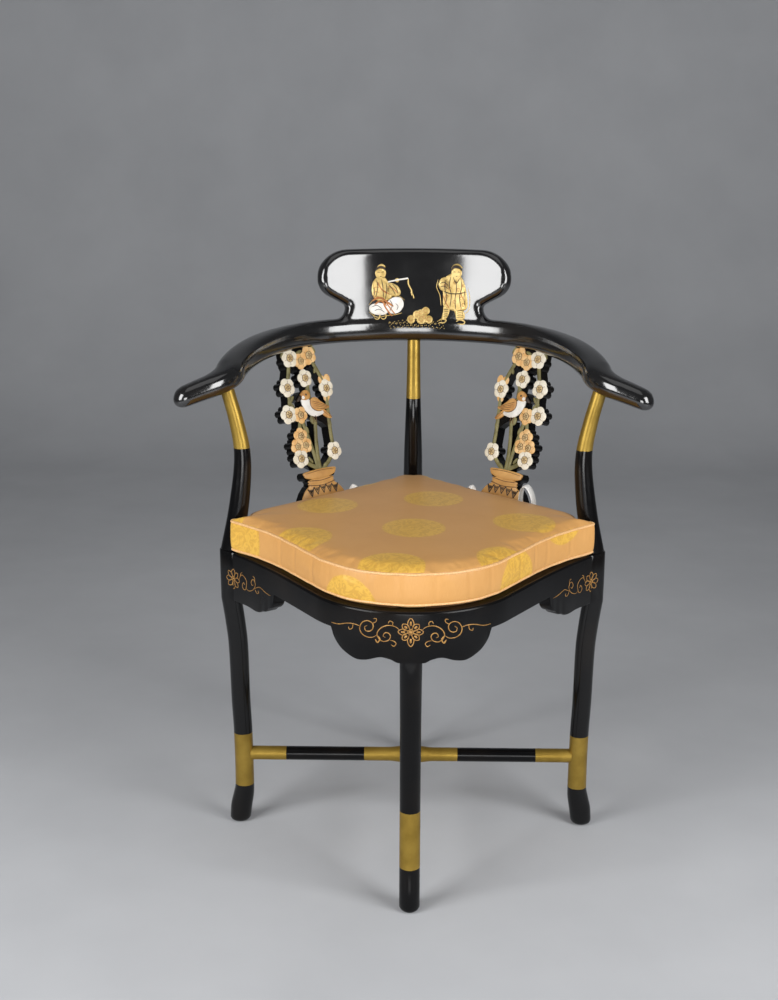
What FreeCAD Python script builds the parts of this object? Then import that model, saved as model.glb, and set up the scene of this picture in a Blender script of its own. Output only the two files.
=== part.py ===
"""Lacquered corner chair: four legs set cornerwise, a bow-shaped arm rail on three posts, a shaped
headrest, two openwork splats, a crossed stretcher and a loose box cushion.

Millimetres. +X points to the right as seen from the front, +Y to the back and +Z up.
Pieces are modelled about the middle of the four legs and are moved together at the end, so that the
origin lies on the floor under the middle of the whole chair's box.
"""

import FreeCAD
import Part

import math
import os

V = FreeCAD.Vector
UP = V(0, 0, 1)

# Seat frame
seat_top = 440.0          # floor to the top of the seat rails
knee_reach = 258.0        # centre of the chair to the middle of a side or back leg's knee block
rail_height = 35.0
rail_thickness = 26.0
rail_edge_round = 4.0     # rounding of the rails' outer top edge, and of the front knee block
nose_reach = knee_reach + 23.0  # centre of the chair to the front of the seat
nose_radius = 155.0       # rounded front corner of the seat, seen from above
nose_turn = 57.0          # degrees from the front centre to where the rail runs straight
side_straight = 90.0      # straight stretch of a front rail, before its hollow
panel_rebate = 9.0        # how far the seat panel lies on the rails
panel_thickness = 9.5
panel_drop = 0.5          # the panel lies this far under the rails' top
panel_gap = 0.6           # clearance round the panel
fit_gap = 0.2             # clearance of tenons and tongues

# Round forms are made of flats
facet_sag = 0.4           # a flat stays this near to the arc that it stands for
nose_flats = 8            # in half of the seat's rounded nose
hollow_flats = 6          # in the hollow of a front rail
corner_flats = 3          # in a rounded corner of a section
peg_sides = 12            # on round bars, pegs and screws

# Knee blocks, where the rails meet the legs
knee_width = 44.0
knee_round = 12.0
knee_proud = 2.0          # a knee block stands proud of the rails by this much
front_knee_width = 36.0
front_knee_depth = 34.0
tenon_thickness = 10.0
tenon_shoulder = 3.0      # from a tenon to the rail's bottom and to the seat panel's rebate
tenon_length = 11.0
tenon_root = 6.0          # how far a tenon starts inside its own rail

# Legs, as distances of the leg's axis from the centre
ankle_reach = knee_reach - 2.0
ankle_width = 28.6
foot_kick = 7.5           # the foot's sole lies this much further out than the ankle
foot_height = 62.0
foot_length = 33.0        # the foot is this long outwards, and as wide as the ankle
sole_round = 6.0
calf_rise = 12.7          # the axis bends out by this much under the knee
calf_width = 30.0

# Arm posts, which are the upper ends of the side and back legs
post_foot_reach = knee_reach + 8.0
post_waist_reach = knee_reach - 10.2
post_head_reach = knee_reach + 8.5
post_foot_width = 33.0
post_waist_width = 25.0
post_head_width = 20.5
post_tenon_width = 13.0
post_tenon_length = 17.0
post_tenon_root = 4.0     # how far the tenon starts inside its post
post_top_length = 12.0    # the post's spare length, which the arm cuts off

# Arm bow and crest
bow_radius = knee_reach + 8.0
bow_rise = 266.0          # the seat rails' top to the bow's underside at the back
bow_side_drop = 31.0      # the bow's underside is this much lower at the side posts
crest_half_angle = 31.0   # degrees of the bow that the crest takes on each side
bow_back_width = 32.0
bow_back_depth = 39.0
arm_width = 44.0
arm_depth = 36.0
arm_round = 14.0
arm_end_width = 36.0
arm_end_depth = 31.0
flare_start = 5.0         # degrees before the side post where the arm begins to flare out
flare_radius = 55.0
flare_turn = 62.0         # degrees off straight forward, at the arm's end
grip_length = 34.0        # straight hand grip
grip_round = 16.0         # length of its rounded end
joint_tenon_length = 22.0  # half the length of the loose tenon between an arm and the crest
joint_tenon_width = 10.0
joint_tenon_depth = 20.0
joint_tenon_round = 4.0
crest_thickness = 26.0
crest_lean = 8.0          # degrees
crest_rise = 145.0        # the bow's underside to the headrest's top
crest_half_width = 149.8
crest_neck = 105.5        # half the width of the headrest's neck
crest_upper_round = 45.0  # rounding of the headrest's upper corners, seen from the front
crest_lower_round = 32.0
crest_slope = 31.0        # degrees of its lower edge beside the neck
crest_rim = 9.0           # rounding of the headrest's rim

# Stretchers
stretcher_height = 112.0
stretcher_width = 21.0
stretcher_boss_width = 25.0
stretcher_boss_length = 34.0
stretcher_tenon_width = 13.0
stretcher_tenon_length = 10.0
stretcher_seat = 2.0      # a bar's shoulder lies this far inside the leg

# Aprons and brackets under the rails
apron_thickness = 20.0
apron_length = 107.0      # from the front centre to the apron's end
apron_drop = 37.0
bracket_length = 88.0     # along the rail, from the knee block's middle
bracket_drop = 39.0

# Splats
splat_thickness = 16.0
splat_setback = 17.43     # the splat's front face lies this far inside the rails' outer face
splat_head_inset = 7.7    # its top lies this far inside the bow's middle line
splat_tongue = 8.0        # thickness of the tongues in the rail and in the arm
splat_tongue_depth = 10.0
blossom_radius = 14.0
stem_width = 8.0

# Corner blocks and their screws
block_height = 18.0
block_depth = 52.0        # from the knee's middle towards the seat's middle
front_block_depth = 30.0
screw_head_width = 8.0
screw_width = 4.0
screw_length = 32.0

# Cushion and its ribbon ties
cushion_gap = 0.3
cushion_thickness = 45.0
cushion_crown = 10.0
cushion_draw = 0.008      # share by which the boxing is drawn in between the seams
cushion_nose_inset = 14.0
cushion_nose_radius = 147.0
cushion_back_gap = 2.0    # from the cushion's back edges to the splats
cushion_half_width = knee_reach - 20.0  # between the side posts
cushion_post_gap = 3.0
cushion_notch_round = 14.0
ribbon_width = 10.0
ribbon_loop_width = 24.0
ribbon_shoulder = 18.0    # straight part of the loop
ribbon_thickness = 1.4

# Sizes that follow
rail_bottom = seat_top - rail_height
knee_half = knee_width / 2
rail_offset = knee_half - knee_proud
sin45 = math.sqrt(0.5)
pocket_bottom = seat_top - panel_drop - panel_thickness
tenon_height = pocket_bottom - rail_bottom - 2 * tenon_shoulder
bow_back_height = seat_top + bow_rise
side_height = bow_back_height - bow_side_drop
crest_top = bow_back_height + crest_rise
splat_front = knee_reach * sin45 + rail_offset - splat_setback
splat_lean = math.degrees(math.atan2(bow_radius - splat_head_inset - splat_front, bow_rise))


def polar(radius, degrees, height=0.0):
    angle = math.radians(degrees)
    return V(radius * math.cos(angle), radius * math.sin(angle), height)


def heading(degrees):
    return polar(1.0, degrees)


def line(start, end):
    return Part.LineSegment(start, end).toShape()


def arc(start, middle, end, count=0):
    """Flats along the arc through three points, as a list of edges."""
    curve = Part.Arc(start, middle, end).toShape()
    radius = curve.Curve.Radius
    if count == 0:
        flat_turn = 2 * math.acos(max(0.5, 1 - facet_sag / radius))
        count = math.ceil(curve.Length / radius / flat_turn)
    points = [start] + curve.discretize(count + 1)[1:-1] + [end]
    return [line(a, b) for a, b in zip(points, points[1:])]


def prism(edges, direction):
    return Part.Face(Part.Wire(edges)).extrude(direction)


def polygon(points, direction):
    return prism([line(a, b) for a, b in zip(points, points[1:] + points[:1])], direction)


def ring_wire(radius, origin, x_axis, y_axis):
    """A regular polygon in the plane of the two axes, for a round bar."""
    points = [polar(radius, 360.0 * (side + 0.5) / peg_sides) for side in range(peg_sides)]
    points = [origin + x_axis * p.x + y_axis * p.y for p in points]
    return Part.makePolygon(points + points[:1])


def peg(radius, length, foot, along):
    """A round peg from its foot in the direction along."""
    helper = UP if abs(along.z) < 0.5 else V(1, 0, 0)
    x_axis = helper.cross(along).normalize()
    return Part.Face(ring_wire(radius, foot, x_axis, along.cross(x_axis))).extrude(along * length)


def polygon_face(points):
    return Part.Face(Part.makePolygon(points + points[:1]))


def loft(wires):
    """A solid through closed wires of as many corners each; a twisted face is split on its shorter diagonal."""
    rings = []
    for wire in wires:
        ring = [vertex.Point for vertex in wire.OrderedVertexes]
        if rings:
            turns = [ring[k:] + ring[:k] for k in range(len(ring))]
            ring = min(turns, key=lambda turn: sum(a.distanceToPoint(b) for a, b in zip(turn, rings[-1])))
        rings.append(ring)
    faces = [polygon_face(rings[0]), polygon_face(rings[-1])]
    for low, high in zip(rings, rings[1:]):
        for a, b, c, d in zip(low, low[1:] + low[:1], high[1:] + high[:1], high):
            if abs((b - a).cross(c - a).normalize().dot(d - a)) < 1e-7:
                faces.append(polygon_face([a, b, c, d]))
            elif a.distanceToPoint(c) < b.distanceToPoint(d):
                faces += [polygon_face([a, b, c]), polygon_face([a, c, d])]
            else:
                faces += [polygon_face([a, b, d]), polygon_face([b, c, d])]
    solid = Part.Solid(Part.Shell(faces))
    if solid.Volume < 0.0:
        solid.reverse()
    return solid


def box(low, high):
    size = high - low
    return Part.makeBox(size.x, size.y, size.z, low)


def mirrored(shape):
    return shape.mirror(V(0, 0, 0), V(1, 0, 0))


def placed(shape, origin, x_axis, y_axis):
    """The shape moved from the XY plane to the plane of the two axes."""
    z_axis = x_axis.cross(y_axis)
    matrix = FreeCAD.Matrix(
        x_axis.x, y_axis.x, z_axis.x, origin.x,
        x_axis.y, y_axis.y, z_axis.y, origin.y,
        x_axis.z, y_axis.z, z_axis.z, origin.z,
        0, 0, 0, 1,
    )
    moved = shape.copy()
    moved.Placement = FreeCAD.Placement(matrix)
    return moved


def rounded_rectangle(width, depth, radius):
    """A closed wire of four sides and four rounded corners, about the origin in the XY plane."""
    radius = min(radius, 0.49 * width, 0.49 * depth)
    edges = []
    for quarter in range(4):
        across, along = (width, depth) if quarter % 2 == 0 else (depth, width)
        turn = FreeCAD.Rotation(UP, 90 * quarter)
        low = V(across / 2, -along / 2 + radius, 0)
        high = V(across / 2, along / 2 - radius, 0)
        centre = V(across / 2 - radius, along / 2 - radius, 0)
        middle = centre + polar(radius, 45)
        last = V(across / 2 - radius, along / 2, 0)
        edges.append(line(turn.multVec(low), turn.multVec(high)))
        edges += arc(turn.multVec(high), turn.multVec(middle), turn.multVec(last), corner_flats)
    return Part.Wire(edges)


# Seat frame, seen from above

def front_curve(reach, radius, end):
    """The right front edge of the seat: rounded nose, straight stretch and a hollow up to the end point."""
    centre = V(0, radius - reach, 0)
    nose_end = centre + polar(radius, nose_turn - 90)
    hollow_start = nose_end + heading(nose_turn) * side_straight
    chord = end - hollow_start
    bend = math.radians(nose_turn) - math.atan2(chord.y, chord.x)
    sagitta = chord.Length / 2 * math.tan(bend / 2)
    outward = V(chord.y, -chord.x, 0).normalize()
    hollow_middle = hollow_start + chord * 0.5 - outward * sagitta
    nose = arc(centre - V(0, radius, 0), centre + polar(radius, nose_turn / 2 - 90), nose_end, nose_flats)
    return nose + [line(nose_end, hollow_start)] + arc(hollow_start, hollow_middle, end, hollow_flats)


def seat_outline(inset):
    """The seat's outline as a face, moved in by the inset, with its corners inside the knee blocks."""
    offset = rail_offset - inset
    apex = V(0, knee_reach + offset / sin45, 0)
    if offset > 0.0:
        end = V(knee_reach, 0, 0) + V(sin45, -sin45, 0) * offset
        back_start = V(knee_reach, 0, 0) + V(sin45, sin45, 0) * offset
        sides = [line(end, back_start), line(back_start, apex)]
    else:
        end = V(apex.y, 0, 0)
        sides = [line(end, apex)]
    right = front_curve(nose_reach - inset, nose_radius - inset, end) + sides
    edges = right + [mirrored(edge) for edge in right]
    return Part.Face(Part.Wire(Part.__sortEdges__(edges)))


def slab(face, low, high):
    lifted = face.copy()
    lifted.translate(V(0, 0, low))
    return lifted.extrude(V(0, 0, high - low))


def rounded_diamond(width, radius):
    """A rounded square standing on its corner."""
    edges = []
    centre = V((width / 2 - radius) / sin45, 0, 0)
    for quarter in range(4):
        turn = FreeCAD.Rotation(UP, 90 * quarter)
        next_turn = FreeCAD.Rotation(UP, 90 * quarter + 90)
        low, tip, high = (centre + polar(radius, degrees) for degrees in (-45, 0, 45))
        edges += arc(turn.multVec(low), turn.multVec(tip), turn.multVec(high), corner_flats)
        edges.append(line(turn.multVec(high), next_turn.multVec(low)))
    return Part.Wire(edges)


def knee_section(height, grow=0.0):
    wire = rounded_diamond(knee_width + grow, knee_round)
    wire.translate(V(knee_reach, 0, height))
    return wire


def front_knee_section(height, grow=0.0):
    wire = rounded_rectangle(front_knee_depth + grow, front_knee_width + grow, rail_edge_round)
    wire.translate(V(nose_reach - front_knee_depth / 2, 0, height))
    return wire


def knee_block(section, low, high, angle, grow=0.0):
    block = Part.Face(section(low, grow)).extrude(V(0, 0, high - low))
    return turned(block, angle)


def turned(shape, angle):
    copy = shape.copy()
    copy.rotate(V(0, 0, 0), UP, angle)
    return copy


def largest(shape):
    return max(shape.Solids, key=lambda solid: solid.Volume)


# Legs, modelled along +X and turned into place

def eased(stations, place):
    """Value at a place on a smooth curve through the stations, each a place and a value."""
    last = len(stations) - 1
    index = max(k for k in range(last) if k == 0 or stations[k][0] <= place)

    def slope(k):
        (place_0, value_0), (place_1, value_1) = stations[max(k - 1, 0)], stations[min(k + 1, last)]
        return (value_1 - value_0) / (place_1 - place_0)

    (start, first), (end, second) = stations[index], stations[index + 1]
    span = end - start
    t = (place - start) / span
    return (first * (1 + 2 * t) * (1 - t) ** 2 + second * t * t * (3 - 2 * t)
            + span * (slope(index) * t * (1 - t) ** 2 - slope(index + 1) * t * t * (1 - t)))


def limb_section(height, reach, length, width):
    """A flattened circle, with as many flats as a knee block's section."""
    sides = 4 * (corner_flats + 1)
    points = []
    for side in range(sides):
        p = polar(0.5, 360.0 * (side + 0.5) / sides)
        points.append(V(reach + length * p.x, width * p.y, height))
    return Part.makePolygon(points + points[:1])


def steps(low, high, count):
    return [low + (high - low) * step / count for step in range(count + 1)]


def lower_leg(knee_wire):
    """From the kicked-out foot up to the knee block."""
    rise = rail_bottom - foot_height
    calf_top = foot_height + 0.88 * rise
    axis = [(0.0, foot_kick), (0.24, 0.80 * foot_kick), (0.45, 0.60 * foot_kick), (0.74, 0.13 * foot_kick),
            (1.0, -0.09 * foot_kick)]
    axis = [(foot_height * h, ankle_reach + kick) for h, kick in axis]
    axis += [(foot_height + rise * h, ankle_reach + calf_rise * bend)
             for h, bend in ((0.25, 0.0), (0.40, 0.16), (0.66, 0.32), (0.77, 0.60), (0.88, 1.0))]
    length = [(0.0, 0.94 * foot_length), (0.45 * foot_height, foot_length), (0.74 * foot_height, 0.95 * foot_length),
              (foot_height, ankle_width), (0.6 * rise, ankle_width), (calf_top, calf_width)]
    width = [(0.0, ankle_width), (0.7 * rise, ankle_width), (calf_top, calf_width)]
    sections = []
    heights = [0.0, 0.3 * sole_round] + steps(sole_round, foot_height, 4)
    for z in heights + steps(foot_height, calf_top, 6)[1:]:
        inset = 2 * sole_round * (1 - min(1.0, z / sole_round)) ** 2
        sections.append(limb_section(z, eased(axis, z), eased(length, z) - inset, eased(width, z) - inset))
    return loft(sections + [knee_wire])


def arm_post(height):
    """From the seat up into the arm, before the arm cuts its top."""
    rise = height - seat_top
    foot, waist, head = post_foot_reach, post_waist_reach, post_head_reach
    axis = [(0.0, foot), (0.19, 0.53 * foot + 0.47 * waist), (0.31, 0.28 * foot + 0.72 * waist), (0.51, waist),
            (0.65, 0.98 * waist + 0.02 * head), (0.83, 0.56 * waist + 0.44 * head), (1.0, head)]
    width = [(0.0, post_foot_width), (0.19, 0.92 * post_foot_width), (0.31, 0.89 * post_foot_width),
             (0.51, 1.04 * post_waist_width), (0.65, 0.94 * post_waist_width), (0.83, 1.05 * post_head_width),
             (1.0, post_head_width)]
    sections = [limb_section(seat_top + rise * h, eased(axis, h), eased(width, h), eased(width, h))
                for h in steps(0.0, 1.0, 8)]
    top = limb_section(height + post_top_length, head + 3.0, post_head_width, post_head_width)
    return loft(sections + [top])


def post_tenon(height, grow=0.0):
    """Round tenon on the top of a post, inside the arm."""
    foot = V(post_head_reach, 0, height - post_tenon_root)
    return peg(post_tenon_width / 2 + grow, post_tenon_length + post_tenon_root + grow, foot, UP)


# Arm bow

def bow_underside(share):
    """Height of the bow's underside, where share is the way from the crest joint to the side post."""
    return bow_back_height - bow_side_drop * share ** 2


def bow_section(point, forward, underside, width, depth, scale=1.0):
    """The arm's rounded section, square to its run."""
    across = UP.cross(forward)
    wire = rounded_rectangle(width * scale, depth * scale, arm_round * scale)
    return placed(wire, point + UP * (underside + depth / 2), across, UP)


# Lengths along the right arm's middle line, from the crest joint
bow_run = math.radians(90.0 - crest_half_angle - flare_start) * bow_radius
flare_run = math.radians(flare_turn - flare_start) * flare_radius
side_run = math.radians(90.0 - crest_half_angle) * bow_radius
arm_run = bow_run + flare_run + grip_length


def arm_place(run):
    """Point and direction of the right arm's middle line, at a distance from the crest joint."""
    if run <= bow_run:
        angle = 90.0 - crest_half_angle - math.degrees(run / bow_radius)
        return polar(bow_radius, angle), heading(angle - 90.0)
    centre = polar(bow_radius + flare_radius, flare_start)
    turn = min(flare_turn, flare_start + math.degrees((run - bow_run) / flare_radius))
    forward = heading(turn - 90.0)
    past = max(0.0, run - bow_run - flare_run)
    return centre + polar(flare_radius, 180.0 + turn) + forward * past, forward


def arm_size(run):
    """Width and depth of the arm's section at a distance from the crest joint."""
    if run < bow_run:
        part = run / bow_run
        swell = math.sin(math.pi / 2 * min(1.0, 1.6 * part)) ** 2
        return (bow_back_width + (arm_width - bow_back_width) * swell,
                bow_back_depth + (arm_depth - bow_back_depth) * part)
    part = min(1.0, (run - bow_run) / (arm_run - bow_run))
    return (arm_width + (arm_end_width - arm_width) * part, arm_depth + (arm_end_depth - arm_depth) * part)


def arm_section(run, scale=1.0):
    point, forward = arm_place(run)
    width, depth = arm_size(run)
    return bow_section(point, forward, bow_underside(run / side_run), width, depth, scale)


def right_arm_blank():
    sections = [arm_section(run) for run in steps(0.0, arm_run, 14)]
    sections += [arm_section(arm_run + grip_round * share, math.sqrt(1.0 - share ** 2))
                 for share in (0.5, 0.85, 0.97)]
    return loft(sections)


def joint_tenon(grow=0.0):
    """Loose tenon between the right arm and the crest, on the bow's run."""
    angle = 90.0 - crest_half_angle
    centre = polar(bow_radius, angle, bow_back_height + bow_back_depth / 2)
    forward = heading(angle - 90.0)
    wire = rounded_rectangle(joint_tenon_width + 2 * grow, joint_tenon_depth + 2 * grow, joint_tenon_round)
    half = joint_tenon_length + grow
    wire = placed(wire, centre - forward * half, UP.cross(forward), UP)
    return Part.Face(wire).extrude(forward * (2 * half))


def lobe_top(x):
    """Height of the headrest's upper edge, which rounds down over its end."""
    past = max(0.0, x - crest_half_width + crest_upper_round)
    return crest_top - crest_upper_round + math.sqrt(crest_upper_round ** 2 - past ** 2)


def lobe_bottom(x):
    """Height of the headrest's lower edge outside its neck: a slope, then a curve up to the end."""
    slope = math.tan(math.radians(crest_slope))
    centre_x = crest_half_width - crest_lower_round
    centre_z = crest_top - crest_upper_round
    turn = math.radians(crest_slope)
    join_x = centre_x + crest_lower_round * math.sin(turn)
    join_z = centre_z - crest_lower_round * math.cos(turn)
    if x < join_x:
        return join_z - (join_x - x) * slope
    return centre_z - math.sqrt(max(0.0, crest_lower_round ** 2 - (x - centre_x) ** 2))


def headrest_slice(x, low, high):
    """An upright slice of the leaning headrest, thinner where its end rounds off."""
    rim = max(0.0, x - crest_half_width + crest_rim)
    thickness = crest_thickness - 2 * (crest_rim - math.sqrt(crest_rim ** 2 - rim ** 2))
    lean = math.radians(crest_lean)
    foot = bow_back_height + 0.4 * bow_back_depth
    height = (low + high) / 2
    reach = bow_radius + (height - foot) * math.tan(lean)
    outward = heading(90.0 - math.degrees(math.asin(x / reach)))
    across = outward * math.cos(lean) - UP * math.sin(lean)
    along = outward * math.sin(lean) + UP * math.cos(lean)
    wire = rounded_rectangle(thickness, (high - low) / math.cos(lean), crest_rim)
    return placed(wire, outward * reach + UP * height, across, along)


def crest_blank():
    """The middle of the bow with the headrest standing on it."""
    angles = steps(90.0 - crest_half_angle, 90.0 + crest_half_angle, 8)
    bow = loft([bow_section(polar(bow_radius, angle), heading(angle - 90.0), bow_back_height,
                            bow_back_width, bow_back_depth) for angle in angles])
    foot = bow_back_height + 0.4 * bow_back_depth
    neck = loft([headrest_slice(x, foot, crest_top) for x in steps(-crest_neck, crest_neck, 6)])
    inset = crest_half_width - crest_neck
    places = [crest_neck + inset * share for share in (0.0, 0.3, 0.55, 0.75, 0.89, 0.96, 0.993)]
    lobe = loft([headrest_slice(x, lobe_bottom(x), lobe_top(x)) for x in places])
    return bow.fuse([neck, lobe, mirrored(lobe)]).removeSplitter()


# Splats

class SplatPlane:
    """The right splat's own plane: u runs along the rail to the back post, v up the board."""

    def __init__(self):
        lean = math.radians(splat_lean)
        outward = V(sin45, sin45, 0)
        self.u_axis = V(-sin45, sin45, 0)
        self.v_axis = outward * math.sin(lean) + UP * math.cos(lean)
        self.normal = outward * math.cos(lean) - UP * math.sin(lean)
        self.origin = outward * splat_front + UP * seat_top

    def at(self, u, v, depth=0.0):
        return self.origin + self.u_axis * u + self.v_axis * v + self.normal * depth


plane = SplatPlane()

# Blossoms on a splat, as places in its plane
blossoms = [(-17, 256), (4, 250), (22, 256), (6, 228), (-32, 219), (45, 208), (-39, 178), (-16, 174),
            (-23, 142), (-33, 127), (-17, 127), (-31, 108), (38, 110)]
# Stems: start, a point on the way, end
stems = [
    ((4, 84), (5, 120), (12, 162)),
    ((0, 84), (-4, 118), (-16, 174)),
    ((8, 84), (24, 96), (38, 110)),
    ((38, 110), (39, 150), (45, 208)),
    ((45, 208), (37, 232), (22, 256)),
    ((-39, 178), (-31, 200), (-32, 219)),
    ((-32, 219), (-25, 236), (-17, 256)),
    ((8, 196), (9, 212), (6, 228)),
    ((6, 228), (6, 240), (4, 250)),
    ((0, 88), (-14, 96), (-31, 108)),
    ((-31, 108), (-30, 118), (-23, 142)),
    ((-23, 142), (-21, 156), (-16, 174)),
]


def blossom_shape(u, v, depth):
    """Five petals, as one closed outline of arcs."""
    edges = []
    for petal in range(5):
        angle = 90.0 + 72.0 * petal
        corners = [polar(0.66 * blossom_radius, angle + side) for side in (-36.0, 36.0)]
        tip = polar(blossom_radius, angle)
        points = [plane.at(u + p.x, v + p.y) for p in (corners[0], tip, corners[1])]
        edges += arc(*points)
    return prism(edges, plane.normal * depth)


def stem_shape(start, middle, end, depth):
    run = V(end[0] - start[0], end[1] - start[1], 0).normalize()
    side = V(-run.y, run.x, 0) * (stem_width / 2)

    def pair(point, sign):
        return plane.at(point[0] + sign * side.x, point[1] + sign * side.y)

    edges = arc(pair(start, 1), pair(middle, 1), pair(end, 1))
    edges.append(line(pair(end, 1), pair(end, -1)))
    edges += arc(pair(end, -1), pair(middle, -1), pair(start, -1))
    edges.append(line(pair(start, -1), pair(start, 1)))
    return prism(edges, plane.normal * depth)


def bird_shape(depth):
    """A small perched bird, its head to the side post and its tail to the back post."""
    at = plane.at
    edges = arc(at(-11, 206), at(-2, 209.5), at(7, 204))
    edges += arc(at(7, 204), at(22, 188), at(44, 150))
    edges.append(line(at(44, 150), at(36, 147)))
    edges += arc(at(36, 147), at(20, 160), at(2, 168))
    edges += arc(at(2, 168), at(-7, 178), at(-10, 193))
    edges += [line(at(-10, 193), at(-20, 198)), line(at(-20, 198), at(-11, 206))]
    return prism(edges, plane.normal * depth)


def vase_shape(depth):
    """Round-bellied vase with a narrow neck and a flared rim; its foot runs into the rail's groove."""
    at = plane.at

    def half(sign):
        edges = [line(at(0, -12), at(sign * 34, -12))]
        edges += arc(at(sign * 34, -12), at(sign * 47, 32), at(sign * 26, 63))
        edges += arc(at(sign * 26, 63), at(sign * 21.5, 68), at(sign * 25, 72))
        edges += arc(at(sign * 25, 72), at(sign * 32.5, 78), at(sign * 29, 85))
        edges.append(line(at(sign * 29, 85), at(0, 86)))
        return edges

    return prism(Part.__sortEdges__(half(1) + half(-1)), plane.normal * depth)


def splat_board():
    """The right splat's board, before the rail and the arm cut it."""
    depth = splat_thickness
    shapes = [vase_shape(depth), bird_shape(depth)]
    shapes += [blossom_shape(u, v, depth) for u, v in blossoms]
    shapes += [stem_shape(start, middle, end, depth) for start, middle, end in stems]
    head = [plane.at(-28, 250), plane.at(34, 250), plane.at(34, 285), plane.at(-28, 285)]
    shapes.append(polygon(head, plane.normal * depth))
    return shapes[0].multiFuse(shapes[1:]).removeSplitter()


def splat_tongues(grow=0.0):
    """Tongues under the vase and on the top, in the middle of the board's thickness."""
    start = (splat_thickness - splat_tongue) / 2 - grow
    depth = splat_tongue + 2 * grow
    foot_points = [plane.at(-30 - grow, -12 - grow, start), plane.at(30 + grow, -12 - grow, start),
                   plane.at(30 + grow, 6, start), plane.at(-30 - grow, 6, start)]
    top = (bow_back_height - seat_top) / math.cos(math.radians(splat_lean)) + splat_tongue_depth - 8.0
    head_points = [plane.at(-22 - grow, 252, start), plane.at(28 + grow, 252, start),
                   plane.at(28 + grow, top + grow, start), plane.at(-22 - grow, top + grow, start)]
    return [polygon(foot_points, plane.normal * depth), polygon(head_points, plane.normal * depth)]


# Build the pieces; what lies on the left is the mirror of the right

nodes = {}
side = V(knee_reach, 0, 0)
back = V(0, knee_reach, 0)
outward_front = V(sin45, -sin45, 0)
outward_back = V(sin45, sin45, 0)

# Knee blocks and the right half of the ring of rails
right_knee = knee_block(knee_section, rail_bottom, seat_top, 0.0)
back_knee = knee_block(knee_section, rail_bottom, seat_top, 90.0)
front_knee = knee_block(front_knee_section, rail_bottom, seat_top, -90.0)
front_knee = front_knee.common(slab(seat_outline(0.0), rail_bottom, seat_top))
ring_levels = [(0.0, rail_bottom)]
for turn in (0.0, 45.0, 90.0):
    bend = polar(rail_edge_round, turn)
    ring_levels.append((rail_edge_round - bend.x, seat_top - rail_edge_round + bend.y))
ring_wires = []
for inset, height in ring_levels:
    wire = seat_outline(inset).OuterWire
    wire.translate(V(0, 0, height))
    ring_wires.append(wire)
ring = loft(ring_wires)
ring = ring.cut(slab(seat_outline(rail_thickness), rail_bottom - 1.0, seat_top + 1.0))
ring = ring.cut(slab(seat_outline(rail_thickness - panel_rebate), pocket_bottom, seat_top + 1.0))
rails = {}
for solid in ring.cut([right_knee, mirrored(right_knee), back_knee, front_knee]).Solids:
    middle = solid.CenterOfMass
    if middle.x > 0.0:
        rails["front" if middle.y < 0.0 else "back"] = solid

# Tenons of the rails in the knee blocks
mid_offset = rail_offset - rail_thickness / 2


def tenon(face_point, inward, grow=0.0):
    """A flat tenon that starts in the rail and ends inside the knee block."""
    across = UP.cross(inward) * (tenon_thickness / 2 + grow)
    low = UP * (rail_bottom + tenon_shoulder - grow)
    start = face_point - inward * tenon_root + low
    end = face_point + inward * (tenon_length + grow) + low
    return polygon([start - across, start + across, end + across, end - across],
                   V(0, 0, tenon_height + 2 * grow))


tenon_seats = {
    "front": {
        "right": (side + outward_front * mid_offset - outward_back * knee_half, outward_back),
        "front": (V(front_knee_width / 2, rail_thickness / 2 - nose_reach, 0), V(-1, 0, 0)),
    },
    "back": {
        "right": (side + outward_back * mid_offset - outward_front * knee_half, outward_front),
        "back": (back + outward_back * mid_offset + outward_front * knee_half, outward_front * -1),
    },
}
mortises = {"front": [], "right": [], "back": []}
for end, seats in tenon_seats.items():
    for leg, (point, inward) in seats.items():
        rails[end] = rails[end].fuse(tenon(point, inward))
        hole = tenon(point, inward, fit_gap)
        mortises[leg].append(hole)
        if leg != "right":
            mortises[leg].append(mirrored(hole))

# Arms and crest, with the loose tenons between them
arm_blank = right_arm_blank()
crest_solid = crest_blank()
tenon_hole = joint_tenon(fit_gap)
nodes["right_arm_tenon"] = joint_tenon()
right_arm = arm_blank.cut([tenon_hole, post_tenon(side_height, fit_gap)])
back_post_hole = turned(post_tenon(bow_back_height, fit_gap), 90.0)
nodes["crest"] = largest(crest_solid.cut([tenon_hole, mirrored(tenon_hole), back_post_hole]))

# Splat, cut by the rail's top and by the arm's underside
above_seat = box(V(0, 0, seat_top), V(2 * bow_radius, 2 * bow_radius, crest_top))
board = largest(splat_board().common(above_seat).cut(arm_blank))
nodes["right_splat"] = largest(board.fuse(splat_tongues()))
grooves = splat_tongues(fit_gap)
nodes["right_arm"] = largest(right_arm.cut(grooves[1]))
rails["back"] = rails["back"].cut(grooves[0])


# Stretchers, halved over each other in the middle

def stretcher():
    """A round bar along X with a swollen middle and a round tenon at each end."""
    along, across = V(1, 0, 0), V(0, 1, 0)
    middle = UP * stretcher_height
    half = ankle_reach - ankle_width / 2 + stretcher_seat
    boss = stretcher_boss_length / 2
    tip = half + stretcher_tenon_length
    profile = [(-half, stretcher_width), (-2 * boss, stretcher_width), (-boss, stretcher_boss_width)]
    profile += [(-place, width) for place, width in reversed(profile)]
    bar = loft([ring_wire(width / 2, middle + along * place, across, UP) for place, width in profile])
    return bar.fuse(peg(stretcher_tenon_width / 2, 2 * tip, middle - along * tip, along)).removeSplitter()


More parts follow.
